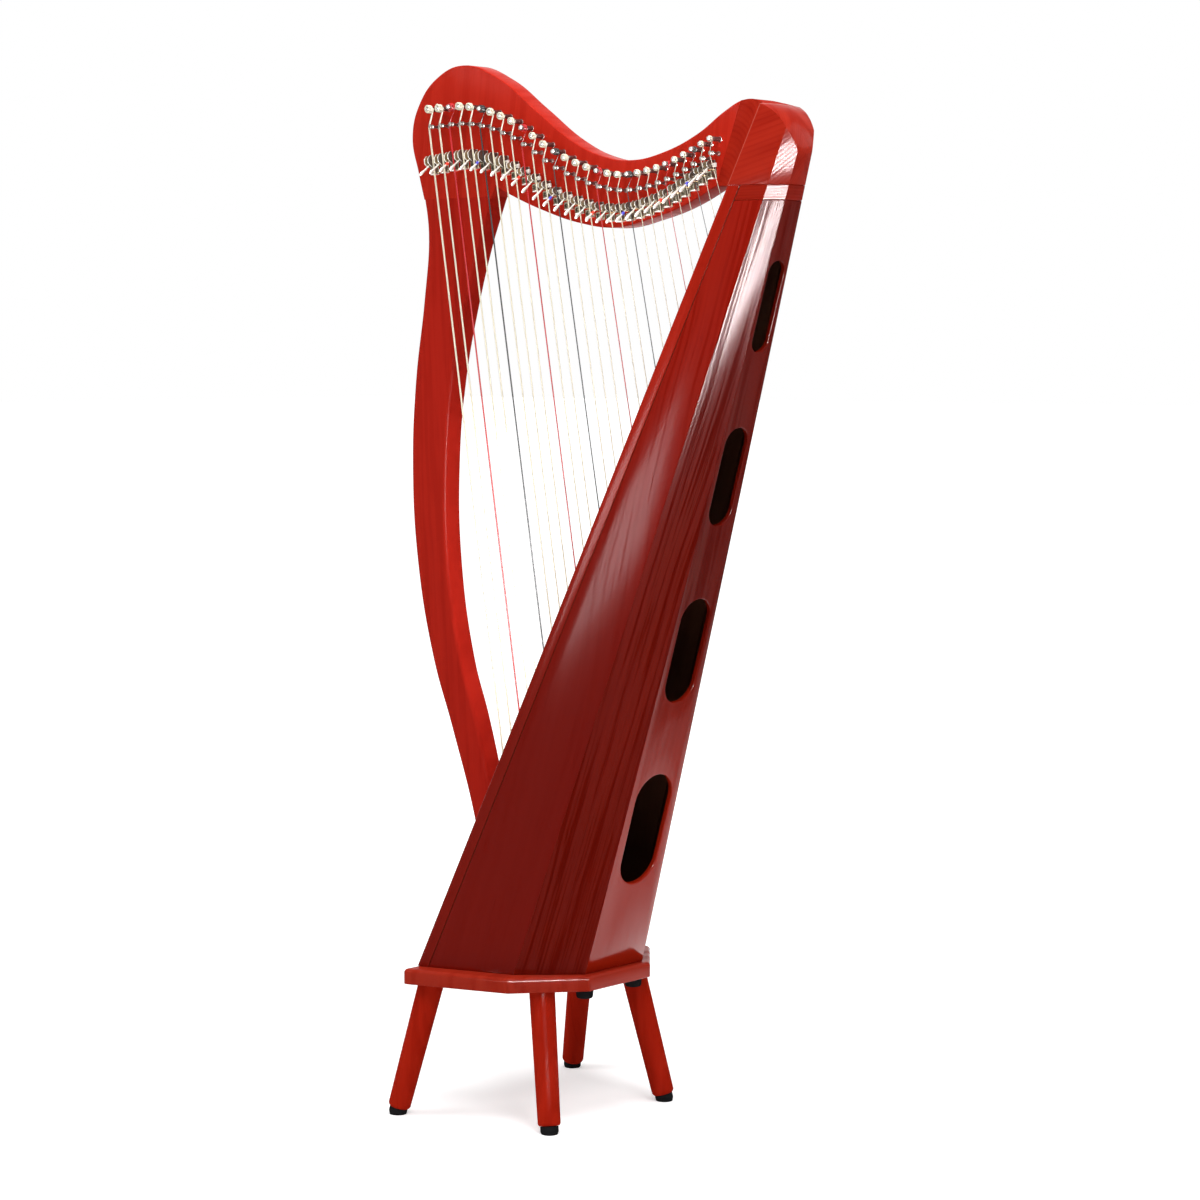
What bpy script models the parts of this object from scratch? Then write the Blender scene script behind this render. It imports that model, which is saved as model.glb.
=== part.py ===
"""Twenty-nine string lever harp on four splayed legs, in metres, +Z up.

X runs in the plane of the frame, from the pillar to the sound box. The strings hang on the -Y side
of the neck. Z = 0 is the floor. The shapes are drawn about the base plate's middle and moved to the
middle of the whole harp's footprint at the end."""

import bpy
import bmesh
import math
from mathutils import Matrix, Vector

# driving sizes, metres
GAP = 0.0003
STRINGS = 29
FRAME_MIDDLE = 0.0623

# base plate and sound box: half widths and places of the hexagon's corners (front, side, back)
PLATE_BOTTOM = 0.1534
PLATE_THICK = 0.0173
PLATE_CORNERS = ((-0.0918, 0.1609), (0.0322, 0.1206), (0.0918, 0.0510))
PLATE_ROUND = 0.0045
BOX_LOW = PLATE_BOTTOM + PLATE_THICK + GAP
BOX_BASE = ((-0.0888, 0.1393), (0.0249, 0.1027), (0.0824, 0.0483))
BOX_HEAD_Z = 1.0285
BOX_HEAD = ((0.2756, 0.0426), (0.3182, 0.0287), (0.3343, 0.0136))
BOX_SLOPE = (BOX_HEAD[0][0] - BOX_BASE[0][0]) / (BOX_HEAD_Z - BOX_LOW)
COLLAR_HEIGHT = 0.0158
WALL = 0.0050
SOUNDBOARD_THICK = 0.0038
RAIL_WIDTH = 0.0140
RAIL_DEPTH = 0.0080
RAIL_FACE = 0.0120
HOLE_WIDTH_LOW = 0.0590
HOLE_WIDTH_HIGH = 0.0260
HOLE_LENGTH_LOW = 0.1300
HOLE_LENGTH_HIGH = 0.0990
HOLE_CENTRES = (0.3320, 0.5330, 0.7230, 0.9030)

# neck and pillar
BOARD_THICK = 0.0264
NECK_EDGE = 0.0012
PILLAR_ROUND = 0.0045
PILLAR_SEAT = 0.2310
HEEL_TOP = 1.1350
HEEL_RIDGE = 0.0021

# pins, strings and levers
STRING_LEAN = 0.1305
BASS_GAUGE = 0.0025
TREBLE_GAUGE = 0.0007
TUNING_RADIUS = 0.0030
TUNING_REACH = 0.0185
TUNING_SQUARE = 0.0052
TUNING_BACK = 0.0150
COIL_MIDDLE = 0.0140
BRIDGE_RADIUS = 0.0018
BRIDGE_HEAD = 0.0027
BRIDGE_GROOVE = 0.0130
PIN_DROP_BASS = 0.0195
PIN_DROP_TREBLE = 0.0148
PIN_LEAN = 0.0032
LEVER_DROP = 0.0076
LEVER_RATIO = 0.035
LEVER_AXLE_OUT = 0.0060
CHEEK_FACE = 0.0033
EAR_THICK = 0.0013
EAR_OPENING = 0.0044
EAR_RADIUS = 0.0047
EAR_OUT = 0.0145
BASS_EAR_RADIUS = 0.0068
BASS_EAR_OUT = 0.0165
BASS_LEVERS = 8
AXLE_RADIUS = 0.0011
AXLE_CLEARANCE = 0.0004
HANDLE_LENGTH = 0.0285
HANDLE_PLACE = -0.0063
HANDLE_REST = math.radians(36.0)
HANDLE_THICK = 0.0015
CAM_REACH = 0.0033
RIB_WIDTH = 0.0160
RIB_THICK = 0.0032

# legs
LEG_TOP_RADIUS = 0.0145
LEG_LOW_RADIUS = 0.0127
FOOT_RADIUS = 0.0102
FOOT_HEIGHT = 0.0085
LEGS = (
    ("front", (-0.0783, 0.1267), (-0.1138, 0.1472)),
    ("rear", (0.0432, 0.0764), (0.0744, 0.0980)),
)
BUMPER_RADIUS = 0.0100
BUMPER_HEIGHT = 0.0110
BUMPERS = (("front", -0.0720, 0.0880), ("rear", 0.0750, 0.0410))


def clear_scene():
    for old in list(bpy.data.objects):
        bpy.data.objects.remove(old, do_unlink=True)


clear_scene()
HARP = bpy.data.collections.new("lever_harp")
CUTTERS = bpy.data.collections.new("cutters")
bpy.context.scene.collection.children.link(HARP)
bpy.context.scene.collection.children.link(CUTTERS)


def material(name, colour, rough, metal=0.0):
    made = bpy.data.materials.new(name)
    made.use_nodes = True
    shader = made.node_tree.nodes["Principled BSDF"]
    shader.inputs["Base Color"].default_value = (*colour, 1.0)
    shader.inputs["Roughness"].default_value = rough
    shader.inputs["Metallic"].default_value = metal
    return made


WOOD_RED = (0.42, 0.030, 0.016)


def wood(name, shade=1.0):
    return material(name, tuple(c * shade for c in WOOD_RED), 0.3)


def add(name, mesh, look, where=None):
    made = bpy.data.objects.new(name, mesh)
    (where or HARP).objects.link(made)
    if look is not None:
        made.data.materials.clear()
        made.data.materials.append(look)
    return made


def tidy(mesh):
    work = bmesh.new()
    work.from_mesh(mesh)
    bmesh.ops.remove_doubles(work, verts=work.verts, dist=1e-6)
    bmesh.ops.recalc_face_normals(work, faces=work.faces)
    if work.calc_volume(signed=True) < 0:
        bmesh.ops.reverse_faces(work, faces=work.faces)
    work.to_mesh(mesh)
    work.free()
    return mesh


def baked(shape):
    """The mesh of an object or curve with its modifiers, as plain data; the object is removed."""
    bpy.context.view_layer.update()
    graph = bpy.context.evaluated_depsgraph_get()
    mesh = bpy.data.meshes.new_from_object(shape.evaluated_get(graph))
    mesh.transform(shape.matrix_world)
    bpy.data.objects.remove(shape, do_unlink=True)
    return tidy(mesh)


def loft(name, rings, look=None, where=None):
    """Closed solid through rings of equal count, capped at both ends."""
    count = len(rings[0])
    verts = [tuple(p) for ring in rings for p in ring]
    faces = [tuple(range(count)), tuple(range((len(rings) - 1) * count, len(rings) * count))]
    for low in range(len(rings) - 1):
        for i in range(count):
            j = (i + 1) % count
            a = low * count
            b = a + count
            faces.append((a + i, a + j, b + j, b + i))
    mesh = bpy.data.meshes.new(name)
    mesh.from_pydata(verts, [], faces)
    return add(name, tidy(mesh), look, where)


def outline(name, points, thick, steps=4):
    """Flat plate in the XZ plane from a smooth outline, centred on Y = 0. A point with a third
    value is a corner."""
    curve = bpy.data.curves.new(name, "CURVE")
    curve.dimensions = "2D"
    curve.fill_mode = "BOTH"
    curve.extrude = thick / 2
    curve.resolution_u = steps
    spline = curve.splines.new("BEZIER")
    spline.bezier_points.add(len(points) - 1)
    spline.use_cyclic_u = True
    for knot, point in zip(spline.bezier_points, points):
        knot.co = (point[0], point[1], 0.0)
        kind = "VECTOR" if len(point) > 2 else "AUTO"
        knot.handle_left_type = kind
        knot.handle_right_type = kind
    made = add(name, curve, None, CUTTERS)
    made.matrix_world = Matrix.Rotation(math.pi / 2, 4, "X")
    return made


def flat_plate(points, thick, place):
    """Flat plate with a straight-sided outline, centred on its own plane, moved by place."""
    curve = bpy.data.curves.new("flat", "CURVE")
    curve.dimensions = "2D"
    curve.fill_mode = "BOTH"
    curve.extrude = thick / 2
    spline = curve.splines.new("POLY")
    spline.points.add(len(points) - 1)
    spline.use_cyclic_u = True
    for knot, point in zip(spline.points, points):
        knot.co = (point[0], point[1], 0.0, 1.0)
    made = add("flat", curve, None, CUTTERS)
    made.matrix_world = place
    return baked(made)


def across(middle):
    """Places a flat plate drawn in (Y, Z) at X = middle."""
    return Matrix(((0, 0, 1, middle), (1, 0, 0, 0), (0, 1, 0, 0), (0, 0, 0, 1)))


def wire(points, radius):
    """Square-sided rod through the points, with closed ends."""
    curve = bpy.data.curves.new("wire", "CURVE")
    curve.dimensions = "3D"
    curve.fill_mode = "FULL"
    curve.bevel_depth = radius
    curve.bevel_resolution = 0
    curve.use_fill_caps = True
    spline = curve.splines.new("POLY")
    spline.points.add(len(points) - 1)
    for knot, point in zip(spline.points, points):
        knot.co = (*point, 1.0)
    return baked(add("wire", curve, None, CUTTERS))


def bevelled(mesh, width, segments, angle):
    shape = add("rounding", mesh, None, CUTTERS)
    edge = shape.modifiers.new("round", "BEVEL")
    edge.width = width
    edge.segments = segments
    edge.limit_method = "ANGLE"
    edge.angle_limit = angle
    edge.use_clamp_overlap = True
    return baked(shape)


def revolve(profile, sides):
    """Solid of revolution about Z: profile points (radius, height) run from top to bottom."""
    mesh = bpy.data.meshes.new("profile")
    mesh.from_pydata([(r, 0.0, z) for r, z in profile], [(i, i + 1) for i in range(len(profile) - 1)], [])
    shape = add("turned", mesh, None, CUTTERS)
    screw = shape.modifiers.new("turn", "SCREW")
    screw.axis = "Z"
    screw.steps = sides
    screw.render_steps = sides
    screw.use_merge_vertices = True
    screw.merge_threshold = 1e-5
    return baked(shape)


def boolean(mesh, other, operation):
    shape = add("base", mesh, None, CUTTERS)
    tool = add("tool", other, None, CUTTERS)
    tool.hide_render = True
    tool.display_type = "WIRE"
    cut = shape.modifiers.new("cut", "BOOLEAN")
    cut.operation = operation
    cut.solver = "EXACT"
    cut.object = tool
    result = baked(shape)
    bpy.data.objects.remove(tool, do_unlink=True)
    return result


def joined(meshes):
    """One mesh holding several separate solids, to be used as one cutter."""
    work = bmesh.new()
    for mesh in meshes:
        work.from_mesh(mesh)
    out = bpy.data.meshes.new("joined")
    work.to_mesh(out)
    work.free()
    return out


def moved(mesh, matrix):
    copy = mesh.copy()
    copy.transform(matrix)
    return copy


def block(size, centre):
    work = bmesh.new()
    bmesh.ops.create_cube(work, size=1.0, matrix=Matrix.Translation(centre) @ Matrix.Diagonal((*size, 1.0)))
    out = bpy.data.meshes.new("block")
    work.to_mesh(out)
    work.free()
    return tidy(out)


def rod(radius, start, end, sides):
    """Cylinder along X from start to end."""
    work = bmesh.new()
    turn = Matrix.Translation(((start + end) / 2, 0, 0)) @ Matrix.Rotation(math.pi / 2, 4, "Y")
    bmesh.ops.create_cone(work, cap_ends=True, segments=sides, radius1=radius, radius2=radius,
                          depth=end - start, matrix=turn)
    out = bpy.data.meshes.new("rod")
    work.to_mesh(out)
    work.free()
    return tidy(out)


# the hexagonal section


def corner(which, z):
    """Near-side corner of the box at height z: 0 front, 1 side, 2 back."""
    share = (z - BOX_LOW) / (BOX_HEAD_Z - BOX_LOW)
    low = BOX_BASE[which]
    high = BOX_HEAD[which]
    x = low[0] + (high[0] - low[0]) * share
    y = low[1] + (high[1] - low[1]) * share
    return Vector((x, -y))


def inward(a, b):
    """Unit normal to the edge a-b, pointing to the middle of the section (left of a to b)."""
    run = (b - a).normalized()
    return Vector((-run.y, run.x))


def inset(points, depth):
    """A closed polygon moved inward by depth on every side."""
    count = len(points)
    out = []
    for i in range(count):
        before = points[i - 1]
        here = points[i]
        after = points[(i + 1) % count]
        n1 = inward(before, here)
        n2 = inward(here, after)
        middle = (n1 + n2).normalized()
        out.append(here + middle * (depth / middle.dot(n1)))
    return out


def hexagon(z):
    near = [corner(i, z) for i in range(3)]
    return near + [Vector((p.x, -p.y)) for p in reversed(near)]


def front_x(z):
    return corner(0, z).x


def level(points, z):
    return [(p.x, p.y, z) for p in points]


def mirrored(mesh):
    copy = mesh.copy()
    copy.transform(Matrix.Diagonal((1.0, -1.0, 1.0, 1.0)))
    return tidy(copy)


def wall_ring(a, b, inner_a, inner_b, z):
    """Section of a panel between two corners, drawn back by half a gap at each end."""
    run = (b - a).normalized() * (GAP / 2)
    return level([a + run, b - run, inner_b - run, inner_a + run], z)


def rail_points(z):
    front = corner(0, z)
    side = corner(1, z)
    run = (side - front).normalized()
    edge = front + run * RAIL_WIDTH
    back = edge + inward(front, side) * RAIL_DEPTH
    face_y = front.y + RAIL_FACE
    back = edge + (back - edge) * ((face_y - edge.y) / (back.y - edge.y))
    return [front, edge, back, Vector((front.x, face_y))]


BOX_TOP = BOX_HEAD_Z - COLLAR_HEIGHT


def side_ring(z):
    start = rail_points(z)[1]
    end = corner(1, z)
    run = (end - start).normalized()
    start = start + run * (GAP / 2)
    deep = inset(hexagon(z), WALL)
    return wall_ring(start, end, start + inward(start, end) * WALL, deep[1], z)


def facet_ring(z):
    deep = inset(hexagon(z), WALL)
    return wall_ring(corner(1, z), corner(2, z), deep[1], deep[2], z)


def back_ring(z):
    points = hexagon(z)
    deep = inset(points, WALL)
    return wall_ring(points[2], points[3], deep[2], deep[3], z)


def both_sides(name, ring, top, look):
    near = loft(name + "_near", [ring(BOX_LOW), ring(top)], look)
    far = mirrored(near.data)
    add(name + "_far", far, look)


both_sides("edge_rail", lambda z: level(rail_points(z), z), BOX_HEAD_Z, wood("rail_wood", 0.9))
both_sides("side_panel", side_ring, BOX_TOP, wood("side_wood", 0.8))
both_sides("rear_facet", facet_ring, BOX_TOP, wood("facet_wood", 0.75))


def soundboard_ring(z):
    half = -(corner(0, z).y + RAIL_FACE) - GAP
    x = front_x(z)
    deep = x + SOUNDBOARD_THICK
    return [(x, -half, z), (deep, -half, z), (deep, half, z), (x, half, z)]


loft("soundboard", [soundboard_ring(BOX_LOW), soundboard_ring(BOX_HEAD_Z)], wood("soundboard_wood", 0.9))


def back_x(z):
    return corner(2, z).x


def hole_cutter(index):
    """Round-ended cutter through the back panel, its long axis along the panel's slope."""
    share = index / (len(HOLE_CENTRES) - 1)
    width = HOLE_WIDTH_LOW + (HOLE_WIDTH_HIGH - HOLE_WIDTH_LOW) * share
    length = HOLE_LENGTH_LOW + (HOLE_LENGTH_HIGH - HOLE_LENGTH_LOW) * share
    z = HOLE_CENTRES[index]
    straight = length / 2 - width / 2
    ring = []
    for end in (1, -1):
        for step in range(8):
            turn = math.pi * step / 7
            ring.append((end * width / 2 * math.cos(turn), end * (straight + width / 2 * math.sin(turn))))
    slope = math.atan2(back_x(BOX_TOP) - back_x(BOX_LOW), BOX_TOP - BOX_LOW)
    place = Matrix.Translation((back_x(z), 0, z)) @ Matrix.Rotation(slope, 4, "Y") @ across(0.0)
    return flat_plate(ring, 8 * WALL, place)


def back_panel():
    panel = loft("panel", [back_ring(BOX_LOW), back_ring(BOX_TOP)], None, CUTTERS)
    mesh = baked(panel)
    holes = joined([hole_cutter(i) for i in range(len(HOLE_CENTRES))])
    add("back_panel", boolean(mesh, holes, "DIFFERENCE"), wood("back_wood", 0.7))


back_panel()


def collar_ring(z):
    near = [rail_points(z)[1], corner(1, z), corner(2, z)]
    near[0] = near[0] + (near[1] - near[0]).normalized() * GAP
    return level(near + [Vector((p.x, -p.y)) for p in reversed(near)], z)


loft("collar_block", [collar_ring(BOX_TOP + GAP), collar_ring(BOX_HEAD_Z)], wood("collar_wood", 0.65))


def bottom_block():
    low = BOX_LOW + GAP
    high = low + 0.018
    rings = []
    for z in (low, high):
        ring = inset(hexagon(z), RAIL_FACE + GAP)
        rings.append(level(ring, z))
    loft("bottom_block", rings, wood("block_wood", 0.6))


bottom_block()


def string_bar():
    rings = []
    for z in (0.205, 0.985):
        x = front_x(z) + SOUNDBOARD_THICK + GAP
        share = (z - BOX_LOW) / (BOX_HEAD_Z - BOX_LOW)
        half = 0.011 - 0.004 * share
        rings.append([(x, -half, z), (x + 0.006, -half, z), (x + 0.006, half, z), (x, half, z)])
    loft("string_bar", rings, wood("bar_wood", 0.8))


string_bar()


def base_plate():
    near = [(x, -y) for x, y in PLATE_CORNERS]
    points = near + [(x, -y) for x, y in reversed(near)]
    place = Matrix.Translation((0, 0, PLATE_BOTTOM + PLATE_THICK / 2))
    mesh = flat_plate(points, PLATE_THICK, place)
    weights = mesh.attributes.new("bevel_weight_edge", "FLOAT", "EDGE")
    for edge in mesh.edges:
        heights = [mesh.vertices[v].co.z for v in edge.vertices]
        if min(heights) > PLATE_BOTTOM + PLATE_THICK / 2:
            weights.data[edge.index].value = 1.0
        elif max(heights) < PLATE_BOTTOM + PLATE_THICK / 2:
            weights.data[edge.index].value = 0.25
    shape = add("plate", mesh, None, CUTTERS)
    edge = shape.modifiers.new("round", "BEVEL")
    edge.width = PLATE_ROUND
    edge.segments = 3
    edge.limit_method = "WEIGHT"
    add("base_plate", baked(shape), wood("plate_wood"))


base_plate()


# legs, feet and bumpers


def leg(name, top, low, look, rubber):
    for side, sign in (("near", -1), ("far", 1)):
        head = Vector((top[0], sign * top[1], PLATE_BOTTOM - GAP))
        toe = Vector((low[0], sign * low[1], 0.0))
        axis = (head - toe).normalized()
        turn = axis.to_track_quat("Z", "Y").to_matrix().to_4x4()
        length = (head - toe).length
        wood_end = FOOT_HEIGHT / axis.z
        profile = [
            (0.0, length + 0.012),
            (LEG_TOP_RADIUS, length + 0.012),
            (LEG_LOW_RADIUS, wood_end + 0.0012),
            (LEG_LOW_RADIUS - 0.0012, wood_end),
            (0.0, wood_end),
        ]
        turned = moved(revolve(profile, 16), Matrix.Translation(toe) @ turn)
        above = block((0.1, 0.1, 0.06), (head.x, head.y, head.z + 0.03))
        add("leg_%s_%s" % (name, side), boolean(turned, above, "DIFFERENCE"), look)
        profile = [
            (0.0, wood_end - GAP),
            (FOOT_RADIUS, wood_end - GAP),
            (FOOT_RADIUS, 0.0020),
            (FOOT_RADIUS - 0.0030, -0.0050),
            (0.0, -0.0050),
        ]
        turned = moved(revolve(profile, 12), Matrix.Translation(toe) @ turn)
        below = block((0.1, 0.1, 0.04), (toe.x, toe.y, -0.02))
        add("foot_%s_%s" % (name, side), boolean(turned, below, "DIFFERENCE"), rubber)


LEG_WOOD = wood("leg_wood", 0.85)
RUBBER = material("rubber", (0.012, 0.012, 0.012), 0.6)
for label, top_place, low_place in LEGS:
    leg(label, top_place, low_place, LEG_WOOD, RUBBER)

for label, x, y in BUMPERS:
    for side, sign in (("near", -1), ("far", 1)):
        profile = [
            (0.0, PLATE_BOTTOM - GAP),
            (BUMPER_RADIUS, PLATE_BOTTOM - GAP),
            (BUMPER_RADIUS, PLATE_BOTTOM - BUMPER_HEIGHT + 0.0015),
            (BUMPER_RADIUS - 0.0015, PLATE_BOTTOM - BUMPER_HEIGHT),
            (0.0, PLATE_BOTTOM - BUMPER_HEIGHT),
        ]
        turned = moved(revolve(profile, 12), Matrix.Translation((x, sign * y, 0)))
        add("bumper_%s_%s" % (label, side), turned, RUBBER)


# pillar

JOINT_Z = 1.0310
SPARE = 0.0120


def pillar():
    foot_z = BOX_LOW
    sit_z = PILLAR_SEAT
    points = [
        (-0.1985, JOINT_Z + SPARE, 1),
        (-0.1924, 0.9930),
        (-0.2002, 0.9150),
        (-0.2145, 0.8250),
        (-0.2207, 0.7300),
        (-0.2132, 0.6140),
        (-0.1874, 0.4987),
        (-0.1590, 0.4245),
        (-0.1225, 0.3200),
        (-0.1060, 0.2450),
        (front_x(foot_z) - 0.0040, foot_z, 1),
        (front_x(foot_z) - GAP, foot_z, 1),
        (front_x(sit_z) - GAP, sit_z, 1),
        (-0.0980, 0.3650),
        (-0.1195, 0.4380),
        (-0.1415, 0.5000),
        (-0.1625, 0.6150),
        (-0.1648, 0.7300),
        (-0.1540, 0.8240),
        (-0.1340, 0.9060),
        (-0.1100, 0.9800),
        (-0.0985, 1.0090),
        (-0.0850, JOINT_Z + SPARE, 1),
    ]
    mesh = baked(outline("pillar_outline", points, BOARD_THICK, 2))
    mesh = bevelled(mesh, PILLAR_ROUND, 2, math.radians(60))
    above = block((0.3, 0.1, 0.1), (-0.1400, 0.0, JOINT_Z - GAP + 0.05))
    mesh = boolean(mesh, above, "DIFFERENCE")
    add("pillar", mesh, wood("pillar_wood"))


pillar()


# neck and heel

HEEL_LOW = (0.2370, 1.0306)
HEEL_HIGH = (0.2700, 1.1182)


def heel_joint_x(z):
    share = (z - HEEL_LOW[1]) / (HEEL_HIGH[1] - HEEL_LOW[1])
    return HEEL_LOW[0] + (HEEL_HIGH[0] - HEEL_LOW[0]) * share


def neck_board():
    points = [
        (HEEL_HIGH[0] + SPARE, HEEL_HIGH[1] + 0.0015, 1),
        (HEEL_HIGH[0], HEEL_HIGH[1]),
        (0.2480, 1.1085),
        (0.2100, 1.0862),
        (0.1600, 1.0685),
        (0.1180, 1.0628),
        (0.0760, 1.0690),
        (0.0300, 1.0885),
        (-0.0270, 1.1270),
        (-0.0800, 1.1625),
        (-0.1330, 1.1800),
        (-0.1750, 1.1690),
        (-0.2050, 1.1400),
        (-0.2165, 1.1040),
        (-0.2065, 1.0610),
        (-0.1940, JOINT_Z - SPARE, 1),
        (-0.0955, JOINT_Z - SPARE, 1),
        (-0.0840, 1.0420, 1),
        (-0.0644, 1.0330),
        (-0.0150, 1.0140),
        (0.0460, 0.9967),
        (0.0960, 0.9910),
        (0.1450, 0.9988),
        (0.1900, 1.0107),
        (HEEL_LOW[0], HEEL_LOW[1]),
        (HEEL_LOW[0] + SPARE, HEEL_LOW[1] + 0.0055, 1),
    ]
    mesh = baked(outline("neck_outline", points, BOARD_THICK, 3))
    mesh = bevelled(mesh, NECK_EDGE, 1, math.radians(60))
    below = block((0.18, 0.1, 0.05), (-0.1775, 0.0, JOINT_Z - 0.025))
    mesh = boolean(mesh, below, "DIFFERENCE")
    rings = []
    for z in (HEEL_LOW[1] - 0.03, HEEL_HIGH[1] + 0.03):
        x = heel_joint_x(z) - GAP
        rings.append([(x, -0.05, z), (x + 0.05, -0.05, z), (x + 0.05, 0.05, z), (x, 0.05, z)])
    beyond = baked(loft("beyond", rings, None, CUTTERS))
    return boolean(mesh, beyond, "DIFFERENCE")


HEEL_CURVE = (
    (0.3436, 1.0288), (0.3434, 1.0480), (0.3430, 1.0600), (0.3410, 1.0730), (0.3356, 1.0878),
    (0.3262, 1.1008), (0.3170, 1.1080), (0.3070, 1.1130), (0.2955, 1.1168), (0.2830, 1.1190),
    (HEEL_HIGH[0], HEEL_HIGH[1]),
)


def heel_ring(z, ridge):
    """Section of the heel at height z: coves from the neck's faces out to the box's front corners,
    then the box's own facets, with a slight ridge down the middle of the back."""
    half = BOARD_THICK / 2
    start = heel_joint_x(z)
    front = corner(0, z)
    near = []
    for step in range(7):
        turn = math.pi / 2 * step / 7
        x = start + (front.x - start) * math.sin(turn)
        y = half + (-front.y - half) * (1 - math.cos(turn))
        near.append(Vector((x, -y)))
    near += [front, corner(1, z), corner(2, z)]
    middle = Vector((corner(2, z).x + ridge, 0.0))
    return level(near + [middle] + [Vector((p.x, -p.y)) for p in reversed(near)], z)


def heel():
    low = BOX_HEAD_Z + GAP
    rings = [heel_ring(low, 0.0001), heel_ring(1.060, HEEL_RIDGE), heel_ring(HEEL_TOP, HEEL_RIDGE)]
    body = baked(loft("heel_body", rings, None, CUTTERS))
    sections = []
    for side in (-2.0, 0.0, 2.0):
        ring = [(HEEL_LOW[0], HEEL_LOW[1]), (0.2700, low)]
        for i, (x, z) in enumerate(HEEL_CURVE):
            share = min(1.0, max(0.0, (x - 0.300) / 0.020))
            before = HEEL_CURVE[max(0, i - 1)]
            after = HEEL_CURVE[min(len(HEEL_CURVE) - 1, i + 1)]
            run = Vector((after[0] - before[0], after[1] - before[1])).normalized()
            rise = HEEL_RIDGE * share * (1.0 - abs(side))
            ring.append((x + run.y * rise, z - run.x * rise))
        sections.append([(x, side * 0.024, z) for x, z in ring])
    keep = baked(loft("heel_keep", sections, None, CUTTERS))
    mesh = boolean(body, keep, "INTERSECT")
    add("heel", mesh, wood("heel_wood", 0.95))


heel()


# where the pins stand: a smooth line through a few places along the neck

PIN_LINE = ((-0.1759, 1.1123), (-0.1112, 1.1122), (-0.0466, 1.0933), (0.0181, 1.0573),
            (0.0804, 1.0350), (0.1216, 1.0302), (0.1757, 1.0392), (0.2380, 1.0642))
PITCH_BASS = 0.0162
PITCH_TREBLE = 0.0122
PITCH_HOLD = 14


def pin_height(x):
    """Cubic through the neighbouring places of PIN_LINE."""
    last = len(PIN_LINE) - 1
    i = max(k for k in range(last) if x >= PIN_LINE[k][0] - 1e-9)
    x1, z1 = PIN_LINE[i]
    x2, z2 = PIN_LINE[i + 1]

    def tangent(k):
        a = PIN_LINE[max(0, k - 1)]
        b = PIN_LINE[min(last, k + 1)]
        return (b[1] - a[1]) / (b[0] - a[0])

    width = x2 - x1
    t = (x - x1) / width
    m1 = tangent(i) * width
    m2 = tangent(i + 1) * width
    return (
        z1 * (1 + 2 * t) * (1 - t) ** 2
        + m1 * t * (1 - t) ** 2
        + z2 * t * t * (3 - 2 * t)
        - m2 * t * t * (1 - t)
    )


def pin_places():
    steps = []
    for i in range(1, STRINGS):
        fall = max(0.0, (i - PITCH_HOLD) / (STRINGS - 1 - PITCH_HOLD))
        steps.append(PITCH_BASS + (PITCH_TREBLE - PITCH_BASS) * min(1.0, 1.25 * fall))
    span = PIN_LINE[-1][0] - PIN_LINE[0][0]
    scale = span / sum(steps)
    xs = [PIN_LINE[0][0]]
    for step in steps:
        xs.append(xs[-1] + step * scale)
    xs[-1] = PIN_LINE[-1][0]
    return [(x, pin_height(x)) for x in xs]


def gauge(i):
    share = i / (STRINGS - 1)
    return BASS_GAUGE + (TREBLE_GAUGE - BASS_GAUGE) * share ** 0.8


FACE = BOARD_THICK / 2
PINS = pin_places()
LEAN = math.atan(STRING_LEAN)
STRING_DOWN = Vector((math.sin(LEAN), 0.0, -math.cos(LEAN)))


class String:
    """Where one string runs: from its tuning pin round its bridge pin to the soundboard."""

    def __init__(self, i):
        self.radius = gauge(i) / 2
        x, z = PINS[i]
        share = i / (STRINGS - 1)
        drop = PIN_DROP_BASS + (PIN_DROP_TREBLE - PIN_DROP_BASS) * share
        self.tuning = Vector((x + PIN_LEAN, -FACE, z + drop))
        self.coil = TUNING_RADIUS + 2 * self.radius
        self.start = Vector((self.tuning.x + self.coil + self.radius + GAP, -FACE - COIL_MIDDLE,
                             self.tuning.z))
        self.bend = Vector((x, -FACE - BRIDGE_GROOVE, z))
        self.bridge = Vector((x + BRIDGE_RADIUS + self.radius + GAP, -FACE, z))
        rise = self.bend.x + STRING_LEAN * z - front_x(BOX_LOW) + BOX_SLOPE * BOX_LOW
        low = rise / (BOX_SLOPE + STRING_LEAN)
        self.end = Vector((front_x(low), 0.0, low))
        self.length = (self.bend - self.end).length
        self.down = (self.end - self.bend).normalized()
        drop = LEVER_DROP + LEVER_RATIO * self.length
        place = self.bend + STRING_DOWN * drop
        self.pivot = Vector((place.x, -FACE - LEVER_AXLE_OUT, place.z))


PATHS = [String(i) for i in range(STRINGS)]


def tuning_pin(path):
    coil = path.coil
    mid = COIL_MIDDLE
    half = max(0.0015, 1.6 * path.radius)
    profile = [
        (0.0, TUNING_REACH),
        (TUNING_RADIUS, TUNING_REACH - 0.0012),
        (TUNING_RADIUS, mid + half),
        (coil, mid + half),
        (coil, mid - half),
        (TUNING_RADIUS, mid - half),
        (TUNING_RADIUS, -0.003),
        (0.0, -0.003),
    ]
    turn = Matrix.Rotation(math.pi / 2, 4, "X")
    pin = moved(revolve(profile, 7), Matrix.Translation(path.tuning) @ turn)
    back = block((TUNING_SQUARE, TUNING_BACK + 0.003, TUNING_SQUARE),
                 (path.tuning.x, FACE + (TUNING_BACK - 0.003) / 2, path.tuning.z))
    return [pin, back]


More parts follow.
